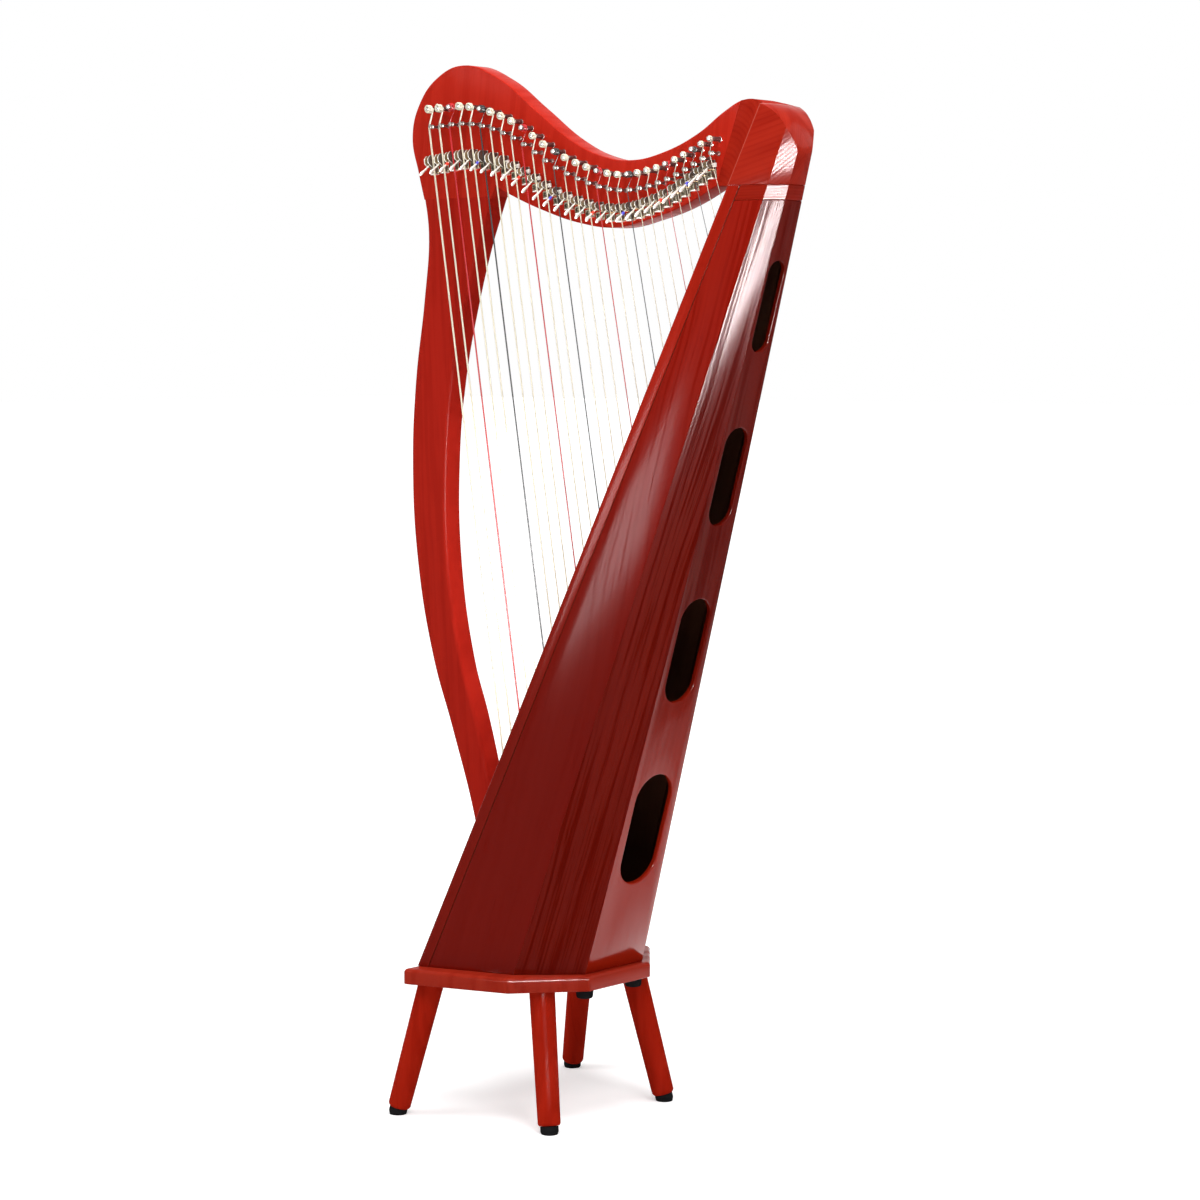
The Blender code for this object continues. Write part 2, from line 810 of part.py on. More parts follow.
def bridge_pin(path):
    groove = BRIDGE_GROOVE
    half = path.radius + 0.0004
    profile = [
        (0.0, groove + half + 0.0018),
        (BRIDGE_HEAD, groove + half + 0.0012),
        (BRIDGE_HEAD, groove + half),
        (BRIDGE_RADIUS, groove + half),
        (BRIDGE_RADIUS, -0.003),
        (0.0, -0.003),
    ]
    turn = Matrix.Rotation(math.pi / 2, 4, "X")
    return moved(revolve(profile, 6), Matrix.Translation(path.bridge) @ turn)


# lever parts are drawn in the lever's own frame: X along the axle with the string over X = 0,
# Z up the string, -Y outward, the axle at the origin and the neck's face at Y = LEVER_AXLE_OUT

PLATE_HALF = EAR_OPENING / 2 + EAR_THICK
HOUSING_MIDDLE = -CHEEK_FACE - PLATE_HALF
FOOT_REACH = 0.0150
FOOT_OUT = 0.0080
FOOT_TALL = 0.0075
BASE_OUT = 0.0012


def lever_housing(r, reach):
    """Base plate, two cheeks standing out from it beside the string, and the screw's lug below.
    r is half the cheeks' height and reach how far they stand out."""
    root = LEVER_AXLE_OUT + 0.0006
    out = LEVER_AXLE_OUT - reach
    ring = [(root, -r), (root, r), (out + 0.0042, r), (out, r * 0.4), (out, -r * 0.4), (out + 0.0055, -r)]
    ears = []
    for side in (-1, 1):
        middle = HOUSING_MIDDLE + side * (EAR_OPENING + EAR_THICK) / 2
        ears.append(flat_plate(ring, EAR_THICK, across(middle)))
    bore = rod(AXLE_RADIUS + AXLE_CLEARANCE, HOUSING_MIDDLE, -0.001, 5)
    cheeks = boolean(joined(ears), bore, "DIFFERENCE")
    high = r + 0.0003
    plate = block((2 * PLATE_HALF + 0.0006, BASE_OUT + 0.001, FOOT_REACH + high),
                  (HOUSING_MIDDLE, LEVER_AXLE_OUT + (0.001 - BASE_OUT) / 2, (high - FOOT_REACH) / 2))
    lug = block((2 * PLATE_HALF - 0.0006, FOOT_OUT + 0.0008, FOOT_TALL),
                (HOUSING_MIDDLE, LEVER_AXLE_OUT + (0.0008 - FOOT_OUT) / 2,
                 -FOOT_REACH + 0.0006 + FOOT_TALL / 2))
    return boolean(boolean(cheeks, plate, "UNION"), lug, "UNION")


def lever_arm():
    """Handle, axle and cam as one piece, drawn with the handle at rest. The handle lies between
    the two cheeks, and the axle carries the cam out under the string."""
    length = HANDLE_LENGTH
    hub = 0.0030
    tip = 0.0027
    ring = []
    for step in range(4):
        turn = math.radians(60) + math.radians(240) * step / 3
        ring.append((hub * math.cos(turn), hub * math.sin(turn)))
    ring.append((length * 0.45, -0.0014))
    for step in range(3):
        turn = -math.pi / 2 + math.pi * step / 2
        ring.append((length - tip + tip * math.cos(turn), tip * math.sin(turn)))
    ring.append((length * 0.45, 0.0014))
    place = Matrix.Rotation(HANDLE_REST, 4, "X") @ across(HANDLE_PLACE)
    handle = flat_plate([(-along, wide) for along, wide in ring], HANDLE_THICK, place)
    axle = rod(AXLE_RADIUS, HANDLE_PLACE, -0.0010, 5)
    cam = block((0.0040, 0.0024, CAM_REACH + 0.0010), (0.0, 0.0, (0.0010 - CAM_REACH) / 2))
    return boolean(boolean(handle, axle, "UNION"), cam, "UNION")


def neck():
    bass = lever_housing(BASS_EAR_RADIUS, BASS_EAR_OUT)
    treble = lever_housing(EAR_RADIUS, EAR_OUT)
    fittings = []
    tilt = Matrix.Rotation(-LEAN, 4, "Y")
    for i, path in enumerate(PATHS):
        housing = bass if i < BASS_LEVERS else treble
        fittings += tuning_pin(path)
        fittings.append(bridge_pin(path))
        fittings.append(moved(housing, Matrix.Translation(path.pivot) @ tilt))
    mesh = boolean(neck_board(), joined(fittings), "UNION")
    add("neck", mesh, wood("neck_wood"))


neck()


def lever_arms():
    arm = lever_arm()
    nickel = material("nickel", (0.62, 0.60, 0.55), 0.25, 1.0)
    tilt = Matrix.Rotation(-LEAN, 4, "Y")
    for i, path in enumerate(PATHS):
        made = add("lever_arm_%02d" % (i + 1), moved(arm, Matrix()), nickel)
        made.matrix_world = Matrix.Translation(path.pivot) @ tilt


lever_arms()


# strings and their rib


def string_set():
    rib_rings = []
    for z in (PILLAR_SEAT + 0.0065, 0.9950):
        x = front_x(z) - GAP
        half = RIB_WIDTH / 2
        rib_rings.append([(x, -half, z), (x, half, z), (x - RIB_THICK, half, z), (x - RIB_THICK, -half, z)])
    rib = baked(loft("rib", rib_rings, None, CUTTERS))
    cords = []
    for path in PATHS:
        into = path.end - path.down * ((GAP + RIB_THICK / 2) / (BOX_SLOPE + STRING_LEAN) / -path.down.z)
        cords.append(wire([path.start, path.bend, into], path.radius))
    ivory = material("string_ivory", (0.86, 0.83, 0.68), 0.35)
    add("string_set", boolean(rib, joined(cords), "UNION"), ivory)


string_set()

for shape in HARP.objects:
    shape.location.x -= FRAME_MIDDLE
    for face in shape.data.polygons:
        face.use_smooth = True
    shape.data.set_sharp_from_angle(angle=math.radians(35))
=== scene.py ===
"""Finished looks of a twenty-nine string lever harp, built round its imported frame, in metres.

X runs from the pillar to the sound box, the strings hang on the -Y side, Z is up from the floor.
Shapes are drawn about the base plate's middle, as the frame's source draws them, and moved by
FRAME_MIDDLE at the end."""

import math
import bpy
import bmesh
from mathutils import Matrix, Vector


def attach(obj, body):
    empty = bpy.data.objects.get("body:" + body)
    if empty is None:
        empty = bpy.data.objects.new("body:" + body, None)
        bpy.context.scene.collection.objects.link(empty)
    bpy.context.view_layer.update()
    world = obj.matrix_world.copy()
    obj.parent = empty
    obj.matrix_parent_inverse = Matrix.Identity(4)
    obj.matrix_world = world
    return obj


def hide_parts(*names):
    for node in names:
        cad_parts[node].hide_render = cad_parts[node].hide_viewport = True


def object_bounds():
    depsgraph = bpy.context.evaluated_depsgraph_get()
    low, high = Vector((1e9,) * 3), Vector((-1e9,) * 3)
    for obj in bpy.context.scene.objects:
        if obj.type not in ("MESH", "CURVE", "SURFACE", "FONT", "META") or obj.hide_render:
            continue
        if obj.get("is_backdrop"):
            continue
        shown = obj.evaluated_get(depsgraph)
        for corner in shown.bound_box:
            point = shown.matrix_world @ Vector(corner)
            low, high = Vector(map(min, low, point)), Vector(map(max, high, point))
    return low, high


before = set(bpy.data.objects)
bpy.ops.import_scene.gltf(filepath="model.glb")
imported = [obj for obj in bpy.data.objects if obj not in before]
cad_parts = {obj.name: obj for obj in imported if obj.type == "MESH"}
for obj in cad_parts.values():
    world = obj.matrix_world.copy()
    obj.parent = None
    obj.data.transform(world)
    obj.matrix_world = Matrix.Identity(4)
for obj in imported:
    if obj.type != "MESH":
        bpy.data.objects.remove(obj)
CAD_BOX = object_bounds()

# sizes, the same as the frame's
GAP = 0.0003
STRINGS = 29
FRAME_MIDDLE = 0.0623
PLATE_BOTTOM = 0.1534
PLATE_THICK = 0.0173
PLATE_CORNERS = ((-0.0918, 0.1609), (0.0322, 0.1206), (0.0918, 0.0510))
PLATE_ROUND = 0.0045
BOX_LOW = PLATE_BOTTOM + PLATE_THICK + GAP
BOX_BASE = ((-0.0888, 0.1393), (0.0249, 0.1027), (0.0824, 0.0483))
BOX_HEAD_Z = 1.0285
BOX_HEAD = ((0.2756, 0.0426), (0.3182, 0.0287), (0.3343, 0.0136))
BOX_SLOPE = (BOX_HEAD[0][0] - BOX_BASE[0][0]) / (BOX_HEAD_Z - BOX_LOW)
COLLAR_HEIGHT = 0.0158
BOX_TOP = BOX_HEAD_Z - COLLAR_HEIGHT
WALL = 0.0050
SOUNDBOARD_THICK = 0.0038
RAIL_WIDTH = 0.0140
RAIL_DEPTH = 0.0080
RAIL_FACE = 0.0120
HOLE_WIDTHS = (0.0590, 0.0260)
HOLE_LENGTHS = (0.1300, 0.0990)
HOLE_CENTRES = (0.3320, 0.5330, 0.7230, 0.9030)
BOARD_THICK = 0.0264
NECK_EDGE = 0.0012
PILLAR_ROUND = 0.0045
PILLAR_SEAT = 0.2310
JOINT_Z = 1.0310
SPARE = 0.0120
HEEL_TOP = 1.1350
HEEL_LOW = (0.2370, 1.0306)
HEEL_HIGH = (0.2700, 1.1182)
HEEL_RIDGE = 0.0021
STRING_LEAN = 0.1305
BASS_GAUGE = 0.0021
TREBLE_GAUGE = 0.0006
TUNING_BACK = 0.0150
BRIDGE_RADIUS = 0.0018
BRIDGE_GROOVE = 0.0130
PIN_DROPS = (0.0195, 0.0148)
PIN_LEAN = 0.0032
LEVER_DROP = 0.0076
LEVER_RATIO = 0.035
LEVER_AXLE_OUT = 0.0060
CHEEK_FACE = 0.0033
EAR_THICK = 0.0013
EAR_OPENING = 0.0044
EAR_SIZES = (0.0047, 0.0145)
BASS_EAR_SIZES = (0.0068, 0.0165)
BASS_LEVERS = 8
AXLE_RADIUS = 0.0011
HANDLE_LENGTH = 0.0285
HANDLE_PLACE = -0.0063
HANDLE_REST = math.radians(36.0)
HANDLE_THICK = 0.0015
CAM_REACH = 0.0033
RIB_WIDTH = 0.0160
RIB_THICK = 0.0032
LEG_TOP_RADIUS = 0.0145
LEG_LOW_RADIUS = 0.0127
FOOT_RADIUS = 0.0102
FOOT_HEIGHT = 0.0085
LEGS = (
    ("front", (-0.0783, 0.1267), (-0.1138, 0.1472)),
    ("rear", (0.0432, 0.0764), (0.0744, 0.0980)),
)
BUMPER_RADIUS = 0.0100
BUMPER_HEIGHT = 0.0110
BUMPERS = (("front", -0.0720, 0.0880), ("rear", 0.0750, 0.0410))

bpy.context.scene.view_settings.view_transform = "Standard"

# camera, at the photograph's place

CAMERA_AT = (2.1626, -2.4428, 0.8542)
CAMERA_TURN = math.radians(41.53)
CAMERA_RISE = math.radians(4.772)
camera_data = bpy.data.cameras.new("camera")
camera_data.lens = 88.5
camera_data.sensor_width = 36.0
camera = bpy.data.objects.new("camera", camera_data)
bpy.context.scene.collection.objects.link(camera)
camera.location = CAMERA_AT
camera_back = Vector((
    math.sin(CAMERA_TURN) * math.cos(CAMERA_RISE),
    -math.cos(CAMERA_TURN) * math.cos(CAMERA_RISE),
    math.sin(CAMERA_RISE),
))
camera.rotation_euler = camera_back.to_track_quat("Z", "Y").to_euler()
bpy.context.scene.camera = camera


# node graphs, for finishes and for repeated shapes


class Graph:
    """A node tree that is built by asking for one node at a time."""

    def __init__(self, tree):
        self.tree = tree

    def node(self, kind, settings=None, inputs=None, out=0):
        """A node of any kind: its settings first, then the values or links of its sockets."""
        made = self.tree.nodes.new(kind)
        for key, value in (settings or {}).items():
            if key == "stops":
                stops = made.color_ramp.elements
                while len(stops) < len(value):
                    stops.new(0.5)
                for stop, (place, tone) in zip(stops, value):
                    stop.position = place
                    stop.color = (*tone, 1.0)
            else:
                setattr(made, key, value)
        for key, value in (inputs or {}).items():
            if isinstance(value, Value):
                self.tree.links.new(value.socket, made.inputs[key])
            else:
                made.inputs[key].default_value = value
        return Value(self, made.outputs[out]) if made.outputs else made

    def mix(self, share, low, high):
        """Colour between two colours or colour links."""
        ends = [c if isinstance(c, Value) else (*c, 1.0) for c in (low, high)]
        return self.node("ShaderNodeMix", {"data_type": "RGBA"}, {0: share, 6: ends[0], 7: ends[1]}, 2)

    def noise(self, place, scale, detail=2.0, rough=0.5):
        return self.node("ShaderNodeTexNoise", {}, {
            "Vector": place, "Scale": scale, "Detail": detail, "Roughness": rough})

    def vector(self, x, y, z):
        return self.node("ShaderNodeCombineXYZ", {}, {0: x, 1: y, 2: z})

    def place(self):
        return self.node("ShaderNodeTexCoord", out=3)


class Value:
    """A socket that takes part in sums written as Python expressions."""

    def __init__(self, graph, socket):
        self.graph = graph
        self.socket = socket

    def math(self, operation, *others, **settings):
        inputs = {0: self}
        for i, other in enumerate(others):
            inputs[i + 1] = other
        return self.graph.node("ShaderNodeMath", {"operation": operation, **settings}, inputs)

    def __add__(self, other):
        return self.math("ADD", other)

    __radd__ = __add__

    def __sub__(self, other):
        return self.math("SUBTRACT", other)

    def __rsub__(self, other):
        return self.graph.node("ShaderNodeMath", {"operation": "SUBTRACT"}, {0: other, 1: self})

    def __mul__(self, other):
        return self.math("MULTIPLY", other)

    __rmul__ = __mul__

    def __truediv__(self, other):
        return self.math("DIVIDE", other)

    def __pow__(self, other):
        return self.math("POWER", other)

    def clamped(self):
        return self.math("MAXIMUM", 0.0).math("MINIMUM", 1.0)

    def step(self, low, high):
        """0 below low, 1 above high, smooth between; high may be the lower of the two."""
        return self.graph.node("ShaderNodeMapRange", {"interpolation_type": "SMOOTHSTEP"}, {
            "Value": self, "From Min": low, "From Max": high, "To Min": 0.0, "To Max": 1.0})

    def dot(self, direction):
        return self.graph.node("ShaderNodeVectorMath", {"operation": "DOT_PRODUCT"}, {
            0: self, 1: tuple(direction)}, 1)


def surface(name, constants, build):
    """A Principled material: constants set on its sockets, varying values linked by build."""
    made = bpy.data.materials.new(name)
    made.use_nodes = True
    graph = Graph(made.node_tree)
    shader = made.node_tree.nodes["Principled BSDF"]
    for key, value in constants.items():
        shader.inputs[key].default_value = value
    for key, value in build(graph).items():
        made.node_tree.links.new(value.socket, shader.inputs[key])
    return made


def bump(graph, height, strength, distance):
    return graph.node("ShaderNodeBump", {}, {"Strength": strength, "Distance": distance, "Height": height})


WOOD_GLOSS = {
    "Specular IOR Level": 0.0,
    "Coat IOR": 1.12,
    "Coat Roughness": 0.13,
}


def stained_wood(name, deep, bright, along, face, figure=1.0, dull=0.6, inner=None, rough=0.45, seed=0.0,
                 across=120.0, low=None, shine=1.0, fold=None,
                 mark=0.16, lines=None, seam=None):
    """Red stain over open grain under a thin lacquer, which lies dull along the grain's streaks.
    along is the grain's direction, face the way the board's broad face looks, across how many
    streaks go to a metre, low a colour painted towards a tall board's foot with the heights where it
    begins and is full, painted shade where that colour is darker and a painted reflection where it is
    lighter, shine how much of the lacquer is left glossy, fold an edge painted with a thin highlight,
    with duller lacquer on its near side, mark how dark the streaks are, lines how many even growth
    rings go to a metre, seam a joint along which a thin line is painted dark and its lacquer taken off."""
    grain = Vector(along).normalized()
    out = Vector(face)
    out = (out - grain * out.dot(grain)).normalized()
    side = grain.cross(out)

    def build(g):
        place = g.place()
        if face[0] and face[1]:
            mirrored = place.dot((0, 1, 0)).math("ABSOLUTE") * -1.0
            place = g.vector(place.dot((1, 0, 0)), mirrored, place.dot(UPWARD))
        u = place.dot(side)
        v = place.dot(out)
        w = place.dot(grain)
        slow = g.noise(g.vector(u * 8.0 + seed, v * 8.0, w * 2.2), 1.0, 2.0, 0.45)
        bent = u + (slow - 0.5) * 0.05 * figure
        bands = g.noise(g.vector(bent * across, v * across * 0.12, w * 5.0 + seed), 1.0, 3.0, 0.55)
        streak = bands.step(0.49, 0.57)
        if lines is not None:
            ring = (bent * (lines * 2 * math.pi) + (bands - 0.5) * 5.0).math("SINE")
            streak = streak * 0.25 + ring.step(0.0, 0.8) * 0.75
        # painted light towards the foot: the low colour is painted shade where it is darker and a painted reflection
        # where it is lighter
        if low is not None:
            painted_foot_shade_and_sheen = place.dot(UPWARD).step(low[1], low[2]) * 0.8
            streak = streak * (1.0 - painted_foot_shade_and_sheen)
        fine = g.noise(g.vector(bent * 1100.0, v * 1100.0, w * 30.0 + seed), 1.0, 2.0, 0.6)
        pore = fine.step(0.56, 0.72)
        mottle = g.noise(g.vector(u * 45.0, v * 45.0, w * 9.0), 1.0, 3.0, 0.55)
        tone = (0.55 + (mottle - 0.5) * 0.55 + (slow - 0.5) * 0.45 - (bands - 0.5) * 0.9
                - streak * mark - pore * 0.24).clamped()
        colour = g.mix(tone, deep, bright)
        # the painted foot shade and sheen colour, mixed in towards the board's foot
        if low is not None:
            colour = g.mix(painted_foot_shade_and_sheen, colour, low[0])
        gloss = rough + pore * 0.15 + (mottle - 0.5) * 0.10
        coat = (1.0 - streak * dull - pore * 0.35).clamped() * shine
        if fold is not None:
            past = fold(place)
            coat = coat * (past.step(-0.003, 0.0) * 0.88 + 0.12)
            # painted highlight: a thin lighter line along the fold stands for light caught on its rounded edge
            colour = g.mix(past.step(-0.0014, 0.0) * past.step(0.0014, 0.0) * 0.36, colour, (0.58, 0.17, 0.12))
        if seam is not None:
            # a thin line along the seam is painted dark and its lacquer taken off
            past = seam(place)
            dark_seam_line = past.step(-0.0009, -0.0001) * past.step(0.0009, 0.0001)
            colour = g.mix(dark_seam_line * 0.7, colour, (0.030, 0.006, 0.003))
            coat = coat * (1.0 - dark_seam_line)
        if inner is not None:
            inside = inner(g, place)
            colour = g.mix(inside, colour, g.mix(mottle, (0.10, 0.038, 0.020), (0.17, 0.066, 0.036)))
            coat = coat * (1.0 - inside)
        return {
            "Base Color": colour,
            "Roughness": gloss,
            "Coat Weight": coat,
            "Normal": bump(g, pore * -1.0 - streak * (0.25 if lines is None else 0.6), 0.25, 0.00025),
        }

    return surface(name, WOOD_GLOSS, build)


def inner_faces(g, place):
    return g.node("ShaderNodeAttribute", {"attribute_name": "inner"}, out=2)


def behind_front(depth):
    """Inside the box: further than depth behind the sloping front."""
    def inside(g, place):
        return (place.dot((1.0, 0.0, -BOX_SLOPE))
                + (FRAME_MIDDLE - BOX_BASE[0][0] + BOX_SLOPE * BOX_LOW)).step(depth, depth + 0.0004)
    return inside


def heel_fold(place):
    """How far a spot lies behind the line where the heel's coves meet its sides."""
    return place.dot((1.0, 0.0, -BOX_SLOPE)) + (FRAME_MIDDLE - BOX_HEAD[0][0] + BOX_SLOPE * BOX_HEAD_Z)


def rail_seam(place):
    """How far a spot lies behind the seam between an edge rail and its side panel."""
    return heel_fold(place) - 0.952 * RAIL_WIDTH


BOX_RUN = (0.364, 0.06, 0.857)
UPWARD = (0, 0, 1)
WOODS = {
    "neck": stained_wood("neck_stain", (0.36, 0.013, 0.0055), (0.48, 0.021, 0.0100), (0.1, 0, 1), (0, -1, 0), 0.4, 0.3,
                         shine=0.55),
    "pillar": stained_wood("pillar_stain", (0.30, 0.011, 0.0060), (0.42, 0.018, 0.0100), (-0.05, 0, 1), (0, -1, 0),
                           0.5, 0.4, shine=0.10),
    # painted highlight along the heel's fold (fold=heel_fold), with duller lacquer on its near side
    "heel": stained_wood("heel_stain", (0.24, 0.009, 0.0040), (0.40, 0.021, 0.0085), (0.912, 0.288, 0.292),
                         (0.39, -0.41, -0.83), 0.06, 0.9, None, 0.45, 0.0, 150.0, fold=heel_fold,
                         mark=0.24, lines=340.0),
    "collar": stained_wood("collar_stain", (0.20, 0.008, 0.0030), (0.32, 0.015, 0.0060), (0.95, 0.3, 0.03),
                           (0.3, -0.95, 0), 0.06, 0.9, None, 0.45, 3.0, 150.0, mark=0.24, lines=340.0),
    # painted shade: the rail darkens towards the foot of the box (low), where less light falls
    "rail": stained_wood("rail_stain", (0.28, 0.009, 0.0030), (0.40, 0.016, 0.0060), BOX_RUN, (0.3, -0.95, 0), 0.3, 0.4,
                         inner_faces, low=((0.115, 0.0035, 0.0010), 0.94, 0.40), seam=rail_seam),
    # painted shade: the side panel darkens towards the foot of the box (low), where less light falls
    "side": stained_wood("side_stain", (0.19, 0.005, 0.0020), (0.31, 0.011, 0.0040), (0.25, 0.06, 0.93),
                         (0.3, -0.95, 0), 1.3, 0.9, inner_faces, 0.45, 0.0, 330.0,
                         ((0.115, 0.0030, 0.0008), 1.02, 0.42), seam=rail_seam),
    "facet": stained_wood("facet_stain", (0.10, 0.003, 0.0008), (0.165, 0.0065, 0.0020), (0.27, 0.07, 0.857),
                          (0.7, -0.7, 0), 0.4, 0.8, inner_faces, 0.45, 5.0, 420.0, mark=0.30),
    # painted reflection: the back is painted lighter towards its foot (low), standing for a reflection there
    "back": stained_wood("back_stain", (0.10, 0.003, 0.0008), (0.155, 0.0065, 0.0020), (0.25, 0, 0.857), (1, 0, 0), 0.7,
                         0.5, inner_faces, low=((0.33, 0.014, 0.0035), 0.60, 0.33)),
    "board": stained_wood("soundboard_stain", (0.22, 0.008, 0.0030), (0.36, 0.015, 0.0060), (0.364, 0, 0.857),
                          (-1, 0, 0), 0.7, 0.5, behind_front(0.003)),
    "brace": stained_wood("brace_wood", (0.10, 0.036, 0.018), (0.17, 0.062, 0.032), (0.364, 0, 0.857), (-1, 0, 0), 0.6,
                          0.6),
    "plate": stained_wood("plate_stain", (0.24, 0.013, 0.0055), (0.35, 0.024, 0.0100), (0, 1, 0), UPWARD, 0.7, 0.6),
    "leg": stained_wood("leg_stain", (0.28, 0.010, 0.0035), (0.41, 0.018, 0.0065), UPWARD, (0, -1, 0), 0.3, 0.8, None,
                        0.55, shine=0.06),
    "rib": stained_wood("rib_wood", (0.22, 0.008, 0.0030), (0.34, 0.015, 0.0060), (0.364, 0, 0.857), (-1, 0, 0), 0.5,
                        0.6),
}


def polished(name, low, high, rough, metal=1.0, grit=900.0, shadow=None):
    """Plated metal: a slight unevenness of colour and polish. shadow darkens part of it."""
    def build(g):
        place = g.place()
        cloud = g.noise(place, grit * 0.25, 2.0)
        fine = g.noise(place, grit * 3.0, 2.0, 0.6)
        colour = g.mix(cloud, low, high)
        if shadow is not None:
            colour = g.mix(shadow(g, place), colour, (0.13, 0.055, 0.050))
        return {
            "Base Color": colour,
            "Roughness": rough + (fine - 0.5) * 0.12 + (cloud - 0.5) * 0.08,
            "Normal": bump(g, fine, 0.06, 0.0001),
        }
    return surface(name, {"Metallic": metal}, build)


FACE = BOARD_THICK / 2
NICKEL = polished("lever_nickel", (0.76, 0.75, 0.69), (0.86, 0.85, 0.80), 0.24, 0.35)
LUG_METAL = polished("lug_metal", (0.09, 0.075, 0.05), (0.20, 0.17, 0.12), 0.32, 0.7)


def housing_metal():
    def build(g):
        place = g.place()
        cloud = g.noise(place, 260.0, 2.0)
        fine = g.noise(place, 2600.0, 2.0, 0.6)
        # the cheeks' inner faces and the bed between them: a darker warm gilt, partly the metal's gold, partly painted
        # shade between the cheeks
        gilt = g.node("ShaderNodeAttribute", {"attribute_name": "gilt"}, out=2)
        plain = g.mix(cloud, (0.80, 0.78, 0.70), (0.95, 0.94, 0.88))
        warm = g.mix(cloud, (0.26, 0.19, 0.11), (0.48, 0.38, 0.24))
        # painted shade: the far cheek's outer faces, and more of each housing towards the treble end, are mixed towards
        # dark brown
        oxide = g.node("ShaderNodeAttribute", {"attribute_name": "oxide"}, out=2)
        return {
            "Base Color": g.mix((oxide + place.dot((1, 0, 0)).step(-0.17, 0.10) * 0.42).clamped(),
                                g.mix(gilt, plain, warm), (0.13, 0.095, 0.075)),
            "Roughness": 0.22 + (fine - 0.5) * 0.12 + (cloud - 0.5) * 0.10,
            "Normal": bump(g, fine, 0.06, 0.0001),
        }
    return surface("housing_metal", {"Metallic": 0.55}, build)


HOUSING_METAL = housing_metal()
PIN_STEEL = polished("pin_steel", (0.26, 0.25, 0.24), (0.42, 0.41, 0.39), 0.24, 0.8, 700.0,
                     lambda g, place: place.dot((0, 1, 0)).step(-FACE - 0.0125, -FACE - 0.0105)
                     * place.dot((0, -1, 0)).step(-FACE, -FACE + 0.001) * 0.75)
BRIDGE_STEEL = polished("bridge_steel", (0.14, 0.13, 0.12), (0.25, 0.235, 0.21), 0.34, 0.75, 700.0,
                        lambda g, place: place.dot((0, 1, 0)).step(-FACE - 0.0098, -FACE - 0.0088)
                        * place.dot((0, -1, 0)).step(FACE + 0.0014, FACE + 0.0020) * 0.8)
DARK_STEEL = polished("cam_steel", (0.10, 0.09, 0.08), (0.20, 0.18, 0.15), 0.30)


def nylon(name, low, high, rough=0.32):
    """Smooth drawn string, its colour slightly uneven along its length."""
    def build(g):
        place = g.place()
        cloud = g.noise(place, 55.0, 2.0)
        fine = g.noise(place, 1600.0, 2.0)
        return {
            "Base Color": g.mix(cloud, low, high),
            "Roughness": rough + (fine - 0.5) * 0.15,
            "Normal": bump(g, fine, 0.05, 0.0001),
        }
    return surface(name, {"Specular IOR Level": 0.2}, build)


STRING_COLOURS = {
    "ivory": nylon("string_ivory", (0.70, 0.65, 0.49), (0.78, 0.73, 0.57)),
    "red": nylon("string_red", (0.44, 0.004, 0.008), (0.54, 0.008, 0.014)),
    "dark": nylon("string_dark", (0.014, 0.013, 0.013), (0.030, 0.028, 0.027)),
}
COLLAR_COLOURS = {
    "red": nylon("sleeve_red", (0.78, 0.030, 0.012), (0.88, 0.055, 0.022), 0.4),
    "blue": nylon("sleeve_blue", (0.050, 0.045, 0.42), (0.085, 0.075, 0.58), 0.4),
}


def rubber_finish():
    def build(g):
        place = g.place()
        fine = g.noise(place, 900.0, 3.0, 0.6)
        cloud = g.noise(place, 90.0, 2.0)
        return {
            "Base Color": g.mix(cloud, (0.008, 0.008, 0.009), (0.020, 0.020, 0.021)),
            "Roughness": 0.50 + (fine - 0.5) * 0.25,
            "Normal": bump(g, fine, 0.25, 0.0002),
        }
    return surface("rubber_black", {"Specular IOR Level": 0.0}, build)


RUBBER = rubber_finish()


# making meshes


def tidy(mesh):
    work = bmesh.new()
    work.from_mesh(mesh)
    bmesh.ops.remove_doubles(work, verts=work.verts, dist=1e-6)
    bmesh.ops.recalc_face_normals(work, faces=work.faces)
    if work.calc_volume(signed=True) < 0:
        bmesh.ops.reverse_faces(work, faces=work.faces)
    work.to_mesh(mesh)
    work.free()
    return mesh


def scratch(mesh):
    made = bpy.data.objects.new("scratch", mesh)
    bpy.context.scene.collection.objects.link(made)
    return made


def baked(shape):
    """The mesh of an object with its modifiers, as plain data; the object is removed."""
    bpy.context.view_layer.update()
    graph = bpy.context.evaluated_depsgraph_get()
    mesh = bpy.data.meshes.new_from_object(shape.evaluated_get(graph))
    mesh.transform(shape.matrix_world)
    bpy.data.objects.remove(shape, do_unlink=True)
    return mesh


def solid(rings):
    """Closed loft through rings of equal count, capped at both ends."""
    count = len(rings[0])
    verts = [tuple(p) for ring in rings for p in ring]
    faces = [tuple(range(count)), tuple(range((len(rings) - 1) * count, len(rings) * count))]
    for low in range(len(rings) - 1):
        for i in range(count):
            j = (i + 1) % count
            a = low * count
            b = a + count
            faces.append((a + i, a + j, b + j, b + i))
    mesh = bpy.data.meshes.new("solid")
    mesh.from_pydata(verts, [], faces)
    return tidy(mesh)


def moved(mesh, matrix):
    copy = mesh.copy()
    copy.transform(matrix)
    return copy


def mirrored(mesh):
    copy = moved(mesh, Matrix.Diagonal((1.0, -1.0, 1.0, 1.0)))
    copy.flip_normals()
    return copy


def joined(meshes):
    work = bmesh.new()
    for mesh in meshes:
        work.from_mesh(mesh)
    out = bpy.data.meshes.new("joined")
    work.to_mesh(out)
    work.free()
    return out


def boolean(mesh, other, operation):
    shape = scratch(mesh)
    tool = scratch(other)
    cut = shape.modifiers.new("cut", "BOOLEAN")
    cut.operation = operation
    cut.solver = "EXACT"
    cut.object = tool
    result = tidy(baked(shape))
    bpy.data.objects.remove(tool, do_unlink=True)
    return result


